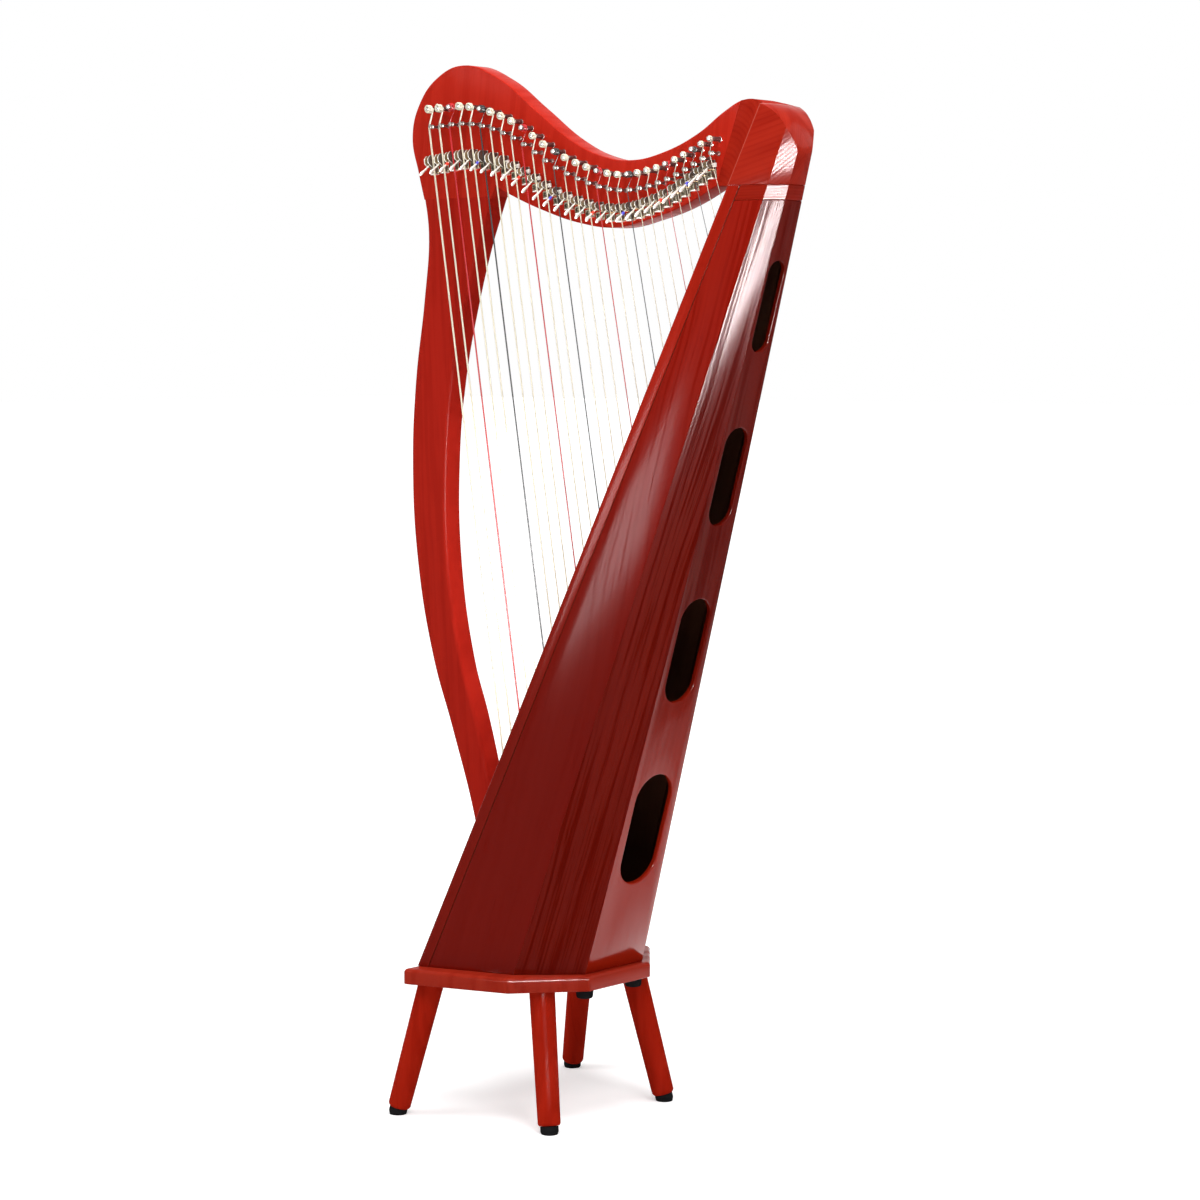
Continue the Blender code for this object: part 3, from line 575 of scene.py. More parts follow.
def block(size, centre):
    work = bmesh.new()
    bmesh.ops.create_cube(work, size=1.0, matrix=Matrix.Translation(centre) @ Matrix.Diagonal((*size, 1.0)))
    out = bpy.data.meshes.new("block")
    work.to_mesh(out)
    work.free()
    return out


def across(middle):
    """Places a flat shape drawn in (Y, Z), with its thickness along X, at X = middle."""
    return Matrix(((0, 0, 1, middle), (1, 0, 0, 0), (0, 1, 0, 0), (0, 0, 0, 1)))


UPRIGHT = Matrix.Rotation(math.pi / 2, 4, "X")


def revolve(profile, sides):
    """Solid of revolution about Z: profile points (radius, height) run from top to bottom."""
    mesh = bpy.data.meshes.new("profile")
    mesh.from_pydata([(r, 0.0, z) for r, z in profile], [(i, i + 1) for i in range(len(profile) - 1)], [])
    shape = scratch(mesh)
    screw = shape.modifiers.new("turn", "SCREW")
    screw.axis = "Z"
    screw.steps = sides
    screw.render_steps = sides
    screw.use_merge_vertices = True
    screw.merge_threshold = 1e-6
    return tidy(baked(shape))


def rounded_profile(profile, steps=4):
    """A turned profile whose third value, where given, rounds that corner by so much."""
    out = []
    for i, point in enumerate(profile):
        here = Vector(point[:2])
        if len(point) < 3:
            out.append(tuple(here))
            continue
        before = Vector(profile[i - 1][:2])
        after = Vector(profile[i + 1][:2])
        start = here + (before - here).normalized() * point[2]
        end = here + (after - here).normalized() * point[2]
        for k in range(steps + 1):
            t = k / steps
            out.append(tuple(start * (1 - t) ** 2 + here * 2 * t * (1 - t) + end * t * t))
    return out


def inward(a, b):
    run = (b - a).normalized()
    return Vector((-run.y, run.x))


def inset(points, depth, share=None):
    """A closed counter-clockwise polygon moved inward by depth on every side. share, where given,
    says how much of the depth a point takes."""
    count = len(points)
    out = []
    for i in range(count):
        n1 = inward(points[i - 1], points[i])
        n2 = inward(points[i], points[(i + 1) % count])
        middle = (n1 + n2).normalized()
        own = depth * share(points[i]) if share else depth
        out.append(points[i] + middle * (own / middle.dot(n1)))
    return out


def wound(points):
    """The points as 2D vectors, counter-clockwise."""
    flat = [Vector(p[:2]) for p in points]
    area = sum(a.x * b.y - b.x * a.y for a, b in zip(flat, flat[1:] + flat[:1]))
    return flat if area > 0 else flat[::-1]


def eased(points, radius, steps=3):
    """A polygon with its corners rounded; radius is one size or one for each corner."""
    sizes = radius if isinstance(radius, (list, tuple)) else [radius] * len(points)
    out = []
    for i, here in enumerate(points):
        before = points[i - 1] - here
        after = points[(i + 1) % len(points)] - here
        reach = sizes[i] / math.tan(before.angle(after) / 2)
        reach = min(reach, 0.45 * before.length, 0.45 * after.length)
        start = here + before.normalized() * reach
        end = here + after.normalized() * reach
        for k in range(steps + 1):
            t = k / steps
            out.append(start * (1 - t) ** 2 + here * 2 * t * (1 - t) + end * t * t)
    return out


def slab(points, half, low, high, steps=4, share=None):
    """Plate of thickness 2 half about its own plane, its two faces' edges rounded by low and high."""
    flat = wound(points)
    levels = []
    for k in range(steps + 1):
        turn = math.pi / 2 * k / steps
        levels.append((low * (1 - math.sin(turn)), -half + low * (1 - math.cos(turn))))
    for k in range(steps + 1):
        turn = math.pi / 2 * k / steps
        levels.append((high * (1 - math.cos(turn)), half - high * (1 - math.sin(turn))))
    return solid([[(p.x, p.y, w) for p in inset(flat, depth, share)] for depth, w in levels])


def smooth_outline(points, steps):
    """Points along a smooth closed outline; a point with a third value is a corner."""
    curve = bpy.data.curves.new("outline", "CURVE")
    curve.dimensions = "2D"
    curve.fill_mode = "NONE"
    curve.resolution_u = steps
    spline = curve.splines.new("BEZIER")
    spline.bezier_points.add(len(points) - 1)
    spline.use_cyclic_u = True
    for knot, point in zip(spline.bezier_points, points):
        knot.co = (point[0], point[1], 0.0)
        kind = "VECTOR" if len(point) > 2 else "AUTO"
        knot.handle_left_type = kind
        knot.handle_right_type = kind
    mesh = baked(scratch(curve))
    return [v.co.xy for v in mesh.vertices]


def mark(mesh, name, chosen):
    """Gives each face 1 or 0 in an attribute that its finish reads."""
    attribute = mesh.attributes.new(name, "FLOAT", "FACE")
    for face in mesh.polygons:
        attribute.data[face.index].value = 1.0 if chosen(face) else 0.0
    return mesh


def piece(name, mesh, look, body="harp", stands_for=(), sharp=35.0, shift=True):
    """Puts a finished mesh in the scene, riding on its body, in place of CAD nodes."""
    if shift:
        mesh.transform(Matrix.Translation((-FRAME_MIDDLE, 0.0, 0.0)))
    mesh.materials.clear()
    mesh.materials.append(look)
    for face in mesh.polygons:
        face.use_smooth = True
        face.material_index = 0
    mesh.set_sharp_from_angle(angle=math.radians(sharp))
    made = bpy.data.objects.new(name, mesh)
    bpy.context.scene.collection.objects.link(made)
    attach(made, body)
    if stands_for:
        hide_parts(*stands_for)
    return made


def dress(node, look):
    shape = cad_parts[node]
    shape.data.materials.clear()
    shape.data.materials.append(look)


# sound box: rails, panels, collar


def corner(which, z):
    share = (z - BOX_LOW) / (BOX_HEAD_Z - BOX_LOW)
    low = BOX_BASE[which]
    high = BOX_HEAD[which]
    return Vector((low[0] + (high[0] - low[0]) * share, -(low[1] + (high[1] - low[1]) * share)))


def hexagon(z):
    near = [corner(i, z) for i in range(3)]
    return near + [Vector((p.x, -p.y)) for p in reversed(near)]


def front_x(z):
    return corner(0, z).x


def back_x(z):
    return corner(2, z).x


def rail_points(z):
    front = corner(0, z)
    side = corner(1, z)
    run = (side - front).normalized()
    edge = front + run * RAIL_WIDTH
    back = edge + inward(front, side) * RAIL_DEPTH
    face_y = front.y + RAIL_FACE
    back = edge + (back - edge) * ((face_y - edge.y) / (back.y - edge.y))
    return [front, edge, back, Vector((front.x, face_y))]


SEAM = 0.00003


def wall_ring(a, b, inner_a, inner_b):
    run = (b - a).normalized() * SEAM
    return [a + run, b - run, inner_b - run, inner_a + run]


def side_ring(z):
    start = rail_points(z)[1]
    end = corner(1, z)
    start = start + (end - start).normalized() * (GAP / 2)
    return wall_ring(start, end, start + inward(start, end) * WALL, inset(hexagon(z), WALL)[1])


def facet_ring(z):
    deep = inset(hexagon(z), WALL)
    return wall_ring(corner(1, z), corner(2, z), deep[1], deep[2])


def back_ring(z):
    points = hexagon(z)
    deep = inset(points, WALL)
    return wall_ring(points[2], points[3], deep[2], deep[3])


def board_along_box(ring, low, high, round_by):
    """A board along the box with eased edges, its ends eased too."""
    ease = 0.0005
    rings = []
    for z, depth in ((low, ease), (low + ease, 0.0), (high - ease, 0.0), (high, ease)):
        shape = ring(z)
        if depth:
            shape = inset(shape, depth)
        rings.append([(p.x, p.y, z) for p in eased(shape, round_by)])
    return solid(rings)


def inside_box(face):
    """True on faces that look into the box."""
    z = face.center.z
    middle = Vector((0.5 * (front_x(z) + back_x(z)), 0.0))
    away = face.center.xy - middle
    return face.normal.xy.dot(away.normalized()) < -0.2


def both_sides(name, ring, top, look, round_by):
    near = board_along_box(ring, BOX_LOW, top, round_by)
    mark(near, "inner", inside_box)
    far = mirrored(near)
    piece(name + "_board_near", near, WOODS[look], stands_for=(name + "_near",))
    piece(name + "_board_far", far, WOODS[look], stands_for=(name + "_far",))


both_sides("edge_rail", rail_points, BOX_HEAD_Z, "rail", [0.0011, 0.0006, 0.0004, 0.0008])
both_sides("side_panel", side_ring, BOX_TOP, "side", [0.0006, 0.0002, 0.0003, 0.0003])
both_sides("rear_facet", facet_ring, BOX_TOP, "facet", [0.0002, 0.0003, 0.0003, 0.0003])


def hole_outline(index, steps=20):
    """Round-ended outline of a sound hole, drawn across and along the back panel."""
    share = index / (len(HOLE_CENTRES) - 1)
    width = HOLE_WIDTHS[0] + (HOLE_WIDTHS[1] - HOLE_WIDTHS[0]) * share
    length = HOLE_LENGTHS[0] + (HOLE_LENGTHS[1] - HOLE_LENGTHS[0]) * share
    straight = length / 2 - width / 2
    ring = []
    for end in (1, -1):
        for step in range(steps + 1):
            turn = math.pi * step / steps
            ring.append((end * width / 2 * math.cos(turn), end * (straight + width / 2 * math.sin(turn))))
    return wound(ring)


def back_panel():
    """The back with its four holes, each with a rounded rim."""
    mesh = board_along_box(back_ring, BOX_LOW, BOX_TOP, [0.0003, 0.0003, 0.0003, 0.0003])
    slope = math.atan2(back_x(BOX_TOP) - back_x(BOX_LOW), BOX_TOP - BOX_LOW)
    rim = 0.0016
    thick = WALL * math.cos(slope)
    for index, z in enumerate(HOLE_CENTRES):
        line = hole_outline(index)
        levels = [(rim + 0.0004, 0.006), (rim + 0.0004, 0.0004)]
        for k in range(6):
            turn = math.pi / 2 * k / 5
            levels.append((rim * (1 - math.sin(turn)), -rim * (1 - math.cos(turn))))
        levels += [(0.0, -thick - 0.006)]
        rings = [[(p.x, p.y, w) for p in inset(line, -grow)] for grow, w in levels]
        place = Matrix.Translation((back_x(z), 0, z)) @ Matrix.Rotation(slope, 4, "Y") @ across(0.0)
        mesh = boolean(mesh, moved(solid(rings), place), "DIFFERENCE")
    middle_lean = Vector((math.cos(slope), 0.0, -math.sin(slope)))
    mark(mesh, "inner", lambda face: face.normal.dot(middle_lean) < -0.5)
    piece("back_board", mesh, WOODS["back"], stands_for=("back_panel",), sharp=40)


back_panel()


def collar_ring(z):
    near = [rail_points(z)[1], corner(1, z), corner(2, z)]
    near[0] = near[0] + (near[1] - near[0]).normalized() * GAP
    return near + [Vector((p.x, -p.y)) for p in reversed(near)]


piece("collar", board_along_box(collar_ring, BOX_TOP + GAP, BOX_HEAD_Z, [0.0006] * 6), WOODS["collar"],
      stands_for=("collar_block",))
dress("soundboard", WOODS["board"])
dress("string_bar", WOODS["brace"])
dress("bottom_block", WOODS["brace"])


# base plate, legs, feet and bumpers


def base_plate():
    near = [Vector((x, -y)) for x, y in PLATE_CORNERS]
    points = near + [Vector((p.x, -p.y)) for p in reversed(near)]
    mesh = slab(eased(points, 0.0052, 5), PLATE_THICK / 2, 0.0012, PLATE_ROUND, 6)
    mesh.transform(Matrix.Translation((0, 0, PLATE_BOTTOM + PLATE_THICK / 2)))
    piece("stand_plate", mesh, WOODS["plate"], stands_for=("base_plate",))


base_plate()


def turned_leg(label, side, sign, top, low):
    head = Vector((top[0], sign * top[1], PLATE_BOTTOM - GAP))
    toe = Vector((low[0], sign * low[1], 0.0))
    axis = (head - toe).normalized()
    place = Matrix.Translation(toe) @ axis.to_track_quat("Z", "Y").to_matrix().to_4x4()
    length = (head - toe).length
    wood_end = FOOT_HEIGHT / axis.z
    profile = [
        (0.0, length + 0.012),
        (LEG_TOP_RADIUS, length + 0.012),
        (LEG_LOW_RADIUS, wood_end + 0.0020, 0.0012),
        (LEG_LOW_RADIUS - 0.0016, wood_end),
        (0.0, wood_end),
    ]
    mesh = moved(revolve(rounded_profile(profile), 48), place)
    above = block((0.1, 0.1, 0.06), (head.x, head.y, head.z + 0.03))
    name = "%s_%s" % (label, side)
    piece("turned_leg_" + name, boolean(mesh, above, "DIFFERENCE"), WOODS["leg"],
          stands_for=("leg_" + name,))
    profile = [
        (0.0, wood_end - GAP),
        (FOOT_RADIUS, wood_end - GAP, 0.0008),
        (FOOT_RADIUS, 0.0024, 0.0010),
        (FOOT_RADIUS - 0.0030, -0.0050),
        (0.0, -0.0050),
    ]
    mesh = moved(revolve(rounded_profile(profile), 40), place)
    below = block((0.1, 0.1, 0.04), (toe.x, toe.y, -0.02))
    piece("rubber_foot_" + name, boolean(mesh, below, "DIFFERENCE"), RUBBER,
          stands_for=("foot_" + name,))


def bumper(label, side, x, y):
    low = PLATE_BOTTOM - BUMPER_HEIGHT
    profile = [
        (0.0, PLATE_BOTTOM - GAP),
        (BUMPER_RADIUS, PLATE_BOTTOM - GAP),
        (BUMPER_RADIUS - 0.0008, low, 0.0030),
        (0.0, low),
    ]
    mesh = moved(revolve(rounded_profile(profile, 6), 36), Matrix.Translation((x, y, 0)))
    piece("rubber_bumper_%s_%s" % (label, side), mesh, RUBBER,
          stands_for=("bumper_%s_%s" % (label, side),))


for side, sign in (("near", -1), ("far", 1)):
    for label, top, low in LEGS:
        turned_leg(label, side, sign, top, low)
    for label, x, y in BUMPERS:
        bumper(label, side, x, sign * y)


# pillar and neck

PILLAR_OUTLINE = (
    (-0.1985, JOINT_Z + SPARE, 1),
    (-0.1924, 0.9930),
    (-0.2002, 0.9150),
    (-0.2145, 0.8250),
    (-0.2207, 0.7300),
    (-0.2132, 0.6140),
    (-0.1874, 0.4987),
    (-0.1590, 0.4245),
    (-0.1225, 0.3200),
    (-0.1060, 0.2450),
    (front_x(BOX_LOW) - 0.0040, BOX_LOW, 1),
    (front_x(BOX_LOW) - GAP, BOX_LOW, 1),
    (front_x(PILLAR_SEAT) - GAP, PILLAR_SEAT, 1),
    (-0.0980, 0.3650),
    (-0.1195, 0.4380),
    (-0.1415, 0.5000),
    (-0.1625, 0.6150),
    (-0.1648, 0.7300),
    (-0.1540, 0.8240),
    (-0.1340, 0.9060),
    (-0.1100, 0.9800),
    (-0.0985, 1.0090),
    (-0.0850, JOINT_Z + SPARE, 1),
)
NECK_OUTLINE = (
    (HEEL_HIGH[0] + SPARE, HEEL_HIGH[1] + 0.0015, 1),
    (HEEL_HIGH[0], HEEL_HIGH[1]),
    (0.2480, 1.1085),
    (0.2100, 1.0862),
    (0.1600, 1.0685),
    (0.1180, 1.0628),
    (0.0760, 1.0690),
    (0.0300, 1.0885),
    (-0.0270, 1.1270),
    (-0.0800, 1.1625),
    (-0.1330, 1.1800),
    (-0.1750, 1.1690),
    (-0.2050, 1.1400),
    (-0.2165, 1.1040),
    (-0.2065, 1.0610),
    (-0.1940, JOINT_Z - SPARE, 1),
    (-0.0955, JOINT_Z - SPARE, 1),
    (-0.0840, 1.0420, 1),
    (-0.0644, 1.0330),
    (-0.0150, 1.0140),
    (0.0460, 0.9967),
    (0.0960, 0.9910),
    (0.1450, 0.9988),
    (0.1900, 1.0107),
    (HEEL_LOW[0], HEEL_LOW[1]),
    (HEEL_LOW[0] + SPARE, HEEL_LOW[1] + 0.0055, 1),
)


def pillar_edge(point):
    """Full rounding along the pillar, fading out towards its toe and along its seat."""
    if point.y < PILLAR_SEAT + 0.001 and point.x > front_x(point.y) - 0.0012:
        return 0.08
    if point.y > JOINT_Z + 0.002:
        return 0.10
    return max(0.08, min(1.0, (point.y - BOX_LOW) / 0.035, 0.25 + (JOINT_Z - point.y) / 0.070))


def pillar():
    line = smooth_outline(PILLAR_OUTLINE, 8)
    mesh = moved(slab(line, FACE, PILLAR_ROUND, PILLAR_ROUND, 6, pillar_edge), UPRIGHT)
    above = block((0.3, 0.1, 0.1), (-0.1400, 0.0, JOINT_Z - 0.00003 + 0.05))
    piece("pillar_board", boolean(mesh, above, "DIFFERENCE"), WOODS["pillar"],
          stands_for=("pillar",))


pillar()


def heel_joint_x(z):
    share = (z - HEEL_LOW[1]) / (HEEL_HIGH[1] - HEEL_LOW[1])
    return HEEL_LOW[0] + (HEEL_HIGH[0] - HEEL_LOW[0]) * share


def neck_board():
    mesh = moved(slab(smooth_outline(NECK_OUTLINE, 10), FACE, NECK_EDGE, NECK_EDGE, 4), UPRIGHT)
    below = block((0.18, 0.1, 0.05), (-0.1775, 0.0, JOINT_Z - 0.025))
    mesh = boolean(mesh, below, "DIFFERENCE")
    rings = []
    for z in (HEEL_LOW[1] - 0.03, HEEL_HIGH[1] + 0.03):
        x = heel_joint_x(z) - GAP
        rings.append([(x, -0.05, z), (x + 0.05, -0.05, z), (x + 0.05, 0.05, z), (x, 0.05, z)])
    mesh = boolean(mesh, solid(rings), "DIFFERENCE")
    piece("neck_board", mesh, WOODS["neck"], stands_for=("neck",))


neck_board()

HEEL_CURVE = (
    (0.3436, 1.0288, 1), (0.3434, 1.0480), (0.3430, 1.0600), (0.3410, 1.0730), (0.3356, 1.0878),
    (0.3262, 1.1008), (0.3170, 1.1080), (0.3070, 1.1130), (0.2955, 1.1168), (0.2830, 1.1190),
    (HEEL_HIGH[0], HEEL_HIGH[1], 1), (HEEL_LOW[0], HEEL_LOW[1], 1), (0.2700, BOX_HEAD_Z + GAP, 1),
)


def heel_ring(z, ridge):
    """Section of the heel: coves from the neck's faces to the front corners, the box's facets, and
    a slight ridge down the middle of the back."""
    half = BOARD_THICK / 2
    start = heel_joint_x(z)
    front = corner(0, z)
    near = []
    for step in range(18):
        turn = math.pi / 2 * step / 18
        near.append(Vector((start + (front.x - start) * math.sin(turn),
                            -half + (front.y + half) * (1 - math.cos(turn)))))
    near += [front, corner(1, z), corner(2, z)]
    middle = Vector((corner(2, z).x + ridge, 0.0))
    return [(p.x, p.y, z) for p in near + [middle] + [Vector((p.x, -p.y)) for p in reversed(near)]]


def heel():
    low = BOX_HEAD_Z + GAP
    body = solid([heel_ring(low, 0.0001), heel_ring(1.060, HEEL_RIDGE), heel_ring(HEEL_TOP, HEEL_RIDGE)])
    line = smooth_outline(HEEL_CURVE, 6)
    sections = []
    for side in (-1.0, 0.0, 1.0):
        ring = []
        for i, here in enumerate(line):
            run = (line[(i + 1) % len(line)] - line[i - 1]).normalized()
            share = min(1.0, max(0.0, (here.x - 0.300) / 0.020))
            rise = HEEL_RIDGE * share * (1.0 - abs(side))
            spot = here + Vector((run.y, -run.x)) * rise
            ring.append((spot.x, side * 0.048, spot.y))
        sections.append(ring)
    shape = scratch(boolean(body, solid(sections), "INTERSECT"))
    ease = shape.modifiers.new("ease", "BEVEL")
    ease.width = 0.0010
    ease.segments = 3
    ease.limit_method = "ANGLE"
    ease.angle_limit = math.radians(24)
    piece("heel_block", tidy(baked(shape)), WOODS["heel"], stands_for=("heel",), sharp=50)


heel()


# pins, strings and levers

PIN_LINE = ((-0.1759, 1.1123), (-0.1112, 1.1122), (-0.0466, 1.0933), (0.0181, 1.0573),
            (0.0804, 1.0350), (0.1216, 1.0302), (0.1757, 1.0392), (0.2380, 1.0642))
PITCH_BASS = 0.0162
PITCH_TREBLE = 0.0122
PITCH_HOLD = 14


def pin_height(x):
    """Cubic through the neighbouring places of PIN_LINE."""
    last = len(PIN_LINE) - 1
    i = max(k for k in range(last) if x >= PIN_LINE[k][0] - 1e-9)
    x1, z1 = PIN_LINE[i]
    x2, z2 = PIN_LINE[i + 1]

    def tangent(k):
        a = PIN_LINE[max(0, k - 1)]
        b = PIN_LINE[min(last, k + 1)]
        return (b[1] - a[1]) / (b[0] - a[0])

    width = x2 - x1
    t = (x - x1) / width
    rise = z1 * (1 + 2 * t) * (1 - t) ** 2 + z2 * t * t * (3 - 2 * t)
    return rise + tangent(i) * width * t * (1 - t) ** 2 - tangent(i + 1) * width * t * t * (1 - t)


def pin_places():
    steps = []
    for i in range(1, STRINGS):
        fall = max(0.0, (i - PITCH_HOLD) / (STRINGS - 1 - PITCH_HOLD))
        steps.append(PITCH_BASS + (PITCH_TREBLE - PITCH_BASS) * min(1.0, 1.25 * fall))
    scale = (PIN_LINE[-1][0] - PIN_LINE[0][0]) / sum(steps)
    xs = [PIN_LINE[0][0]]
    for step in steps:
        xs.append(xs[-1] + step * scale)
    xs[-1] = PIN_LINE[-1][0]
    return [(x, pin_height(x)) for x in xs]


PINS = pin_places()
LEAN = math.atan(STRING_LEAN)
TILT = Matrix.Rotation(-LEAN, 4, "Y")
STRING_DOWN = Vector((math.sin(LEAN), 0.0, -math.cos(LEAN)))
SHAFT_RADIUS = 0.0026


class String:
    """Where one string runs: round its tuning pin, past its bridge pin, down to the soundboard."""

    def __init__(self, i):
        share = i / (STRINGS - 1)
        self.radius = (BASS_GAUGE + (TREBLE_GAUGE - BASS_GAUGE) * share ** 0.8) / 2
        x, z = PINS[i]
        self.colour = {2: "red", 5: "dark"}.get(i % 7, "ivory")
        self.tuning = Vector((x + PIN_LEAN, -FACE, z + PIN_DROPS[0] + (PIN_DROPS[1] - PIN_DROPS[0]) * share))
        self.bend = Vector((x, -FACE - BRIDGE_GROOVE, z))
        self.bridge = Vector((x + BRIDGE_RADIUS + self.radius + GAP, -FACE, z))
        rise = self.bend.x + STRING_LEAN * z - front_x(BOX_LOW) + BOX_SLOPE * BOX_LOW
        low = rise / (BOX_SLOPE + STRING_LEAN)
        self.end = Vector((front_x(low), 0.0, low))
        self.length = (self.bend - self.end).length
        place = self.bend + STRING_DOWN * (LEVER_DROP + LEVER_RATIO * self.length)
        self.pivot = Vector((place.x, -FACE - LEVER_AXLE_OUT, place.z))
        self.turns = 3 if self.radius > 0.0007 else 4
        self.coil_out = 0.0164 if self.colour == "ivory" else 0.0128
        self.number = i + 1

    def path(self):
        """Tail, coil, the run to the bridge pin, and the speaking length."""
        ring = SHAFT_RADIUS + self.radius
        pitch = 2.05 * self.radius
        back = self.coil_out + pitch * self.turns / 2
        points = []
        steps = 14
        tail_turn = (0.9, 2.4, 3.7, 2.9, 1.7)[self.number % 5]
        total = self.turns * steps
        for k in range(total + 1):
            turn = 2 * math.pi * (k - total) / steps
            out = back - pitch * self.turns * k / total
            points.append(self.tuning + Vector((ring * math.cos(turn), -out, ring * math.sin(turn))))
        lead = points[0] - self.tuning
        lead.y = 0.0
        spin = Matrix.Rotation(tail_turn, 3, "Y")
        tangent = Vector((-lead.z, 0.0, lead.x)).normalized()
        first = points[0] - tangent * -0.0016 + lead.normalized() * 0.0008
        tail = first + (spin @ lead).normalized() * (0.0030 + 0.0008 * (self.number % 3))
        tail.y = first.y - 0.0006
        return [tail, first] + points + self.run()

    def run(self):
        """From the coil past the bridge pin to the soundboard's rib."""
        points = []
        down = (self.end - self.bend).normalized()
        hook = BRIDGE_RADIUS + self.radius
        points.append(self.bend + Vector((0.0004, 0.0, 0.0010)))
        points.append(self.bend + Vector((0.0, 0.0, 0.0)))
        points.append(self.bend + down * hook)
        into = (GAP + RIB_THICK / 2) / (BOX_SLOPE + STRING_LEAN) / -down.z
        points.append(self.end - down * into)
        return points


PATHS = [String(i) for i in range(STRINGS)]


def node_tree(name, sizes):
    """A geometry tree with named inputs: the shape first, then each size with its kind and value."""
    tree = bpy.data.node_groups.new(name, "GeometryNodeTree")
    tree.interface.new_socket("Geometry", in_out="INPUT", socket_type="NodeSocketGeometry")
    for label, kind, value in sizes:
        made = tree.interface.new_socket(label, in_out="INPUT", socket_type="NodeSocket" + kind)
        if value is not None:
            made.default_value = value
    tree.interface.new_socket("Geometry", in_out="OUTPUT", socket_type="NodeSocketGeometry")
    graph = Graph(tree)
    source = tree.nodes.new("NodeGroupInput")
    given = {socket.name: Value(graph, socket) for socket in source.outputs if socket.name}
    return tree, graph, given


def close_tree(tree, graph, shape, look):
    """Ends a tree: instances made real, then the finish."""
    real = graph.node("GeometryNodeRealizeInstances", {}, {0: shape})
    done = graph.node("GeometryNodeSetMaterial", {}, {"Geometry": real, "Material": look})
    out = tree.nodes.new("NodeGroupOutput")
    tree.links.new(done.socket, out.inputs[0])


def grown(mesh, tree, values):
    """The mesh after the tree, as plain data."""
    shape = scratch(mesh)
    modifier = shape.modifiers.new("grow", "NODES")
    modifier.node_group = tree
    for item in tree.interface.items_tree:
        if item.item_type == "SOCKET" and item.in_out == "INPUT" and item.name in values:
            modifier[item.identifier] = values[item.name]
    return tidy_loose(baked(shape))


def tidy_loose(mesh):
    """Welds each part's own doubles and turns every part outward."""
    work = bmesh.new()
    work.from_mesh(mesh)
    bmesh.ops.remove_doubles(work, verts=work.verts, dist=2e-6)
    bmesh.ops.recalc_face_normals(work, faces=work.faces)
    work.to_mesh(mesh)
    work.free()
    return mesh


def point_cloud(places, **values):
    """A mesh of loose points that carry named values."""
    mesh = bpy.data.meshes.new("places")
    mesh.from_pydata([tuple(p) for p in places], [], [])
    for name, numbers in values.items():
        attribute = mesh.attributes.new(name, "FLOAT", "POINT")
        attribute.data.foreach_set("value", numbers)
    return mesh


def stand_along(name, template, places, look, turns=None, spread=0.0):
    """Sets one drawn shape at every place, turned about Y by that place's own angle, and by a
    random turn of up to spread."""
    tree, g, given = node_tree(name, (("Shape", "Object", None), ("Size", "Float", 1.0),
                                      ("Spread", "Float", 0.0), ("Seed", "Int", 7)))
    source = g.node("GeometryNodeObjectInfo", {}, {"Object": given["Shape"]}, 4)
    own = g.node("GeometryNodeInputNamedAttribute", {"data_type": "FLOAT"}, {"Name": "turn"})
    random = g.node("FunctionNodeRandomValue", {"data_type": "FLOAT"}, {
        2: -1.0, 3: 1.0, "Seed": given["Seed"]}, 1)
    angle = g.vector(0.0, own + random * given["Spread"], 0.0)
    size = g.vector(given["Size"], given["Size"], given["Size"])
    placed = g.node("GeometryNodeInstanceOnPoints", {}, {
        "Points": given["Geometry"], "Instance": source, "Rotation": angle, "Scale": size})
    close_tree(tree, g, placed, look)
    holder = scratch(template)
    cloud = point_cloud(places, turn=turns or [0.0] * len(places))
    mesh = grown(cloud, tree, {"Shape": holder, "Size": 1.0, "Spread": spread, "Seed": 7})
    bpy.data.objects.remove(holder, do_unlink=True)
    return mesh


def tuning_pin():
    """Round shaft with a domed near end, and the square end that the key turns on the far side."""
    profile = [
        (0.0, 0.0203),
        (0.0012, 0.0201),
        (0.0022, 0.0194),
        (0.0028, 0.0182),
        (0.0028, 0.0172),
        (0.0024, 0.0160),
        (SHAFT_RADIUS, 0.0154),
        (SHAFT_RADIUS, 0.0004),
        (SHAFT_RADIUS + 0.0005, 0.0),
        (SHAFT_RADIUS + 0.0005, -0.002),
        (0.0, -0.002),
    ]
    near = moved(revolve(profile, 20), UPRIGHT)
    thick = 2 * FACE
    collar = [
        (0.0, -thick + 0.002),
        (0.0034, -thick + 0.002),
        (0.0034, -thick - 0.0030, 0.0006),
        (0.0, -thick - 0.0030),
    ]
    middle = moved(revolve(rounded_profile(collar, 3), 20), UPRIGHT)
    rings = []
    for out, half in ((0.0020, 0.0026), (0.0135, 0.0022), (0.0148, 0.0017)):
        square = eased([Vector((-half, -half)), Vector((half, -half)), Vector((half, half)),
                        Vector((-half, half))], 0.0004, 2)
        rings.append([(p.x, thick + out, p.y) for p in square])
    return joined([near, middle, solid(rings)])


def bridge_pin():
    """Threaded pin: grooved pale end, a ball behind it, thin shaft, ring at the root."""
    r = BRIDGE_RADIUS
    profile = [
        (0.0, 0.0158),
        (r * 0.8, 0.0157),
        (r * 1.30, 0.0151),
        (r * 1.34, 0.0146),
        (r * 0.95, 0.0139),
        (r * 0.95, 0.0121),
        (r * 1.32, 0.0115),
        (r * 1.42, 0.0106),
        (r * 1.30, 0.0098),
        (r * 0.82, 0.0092),
        (r * 0.82, 0.0022),
        (r * 1.25, 0.0018),
        (r * 1.35, 0.0004),
        (r * 1.35, -0.002),
        (0.0, -0.002),
    ]
    return moved(revolve(profile, 18), UPRIGHT)


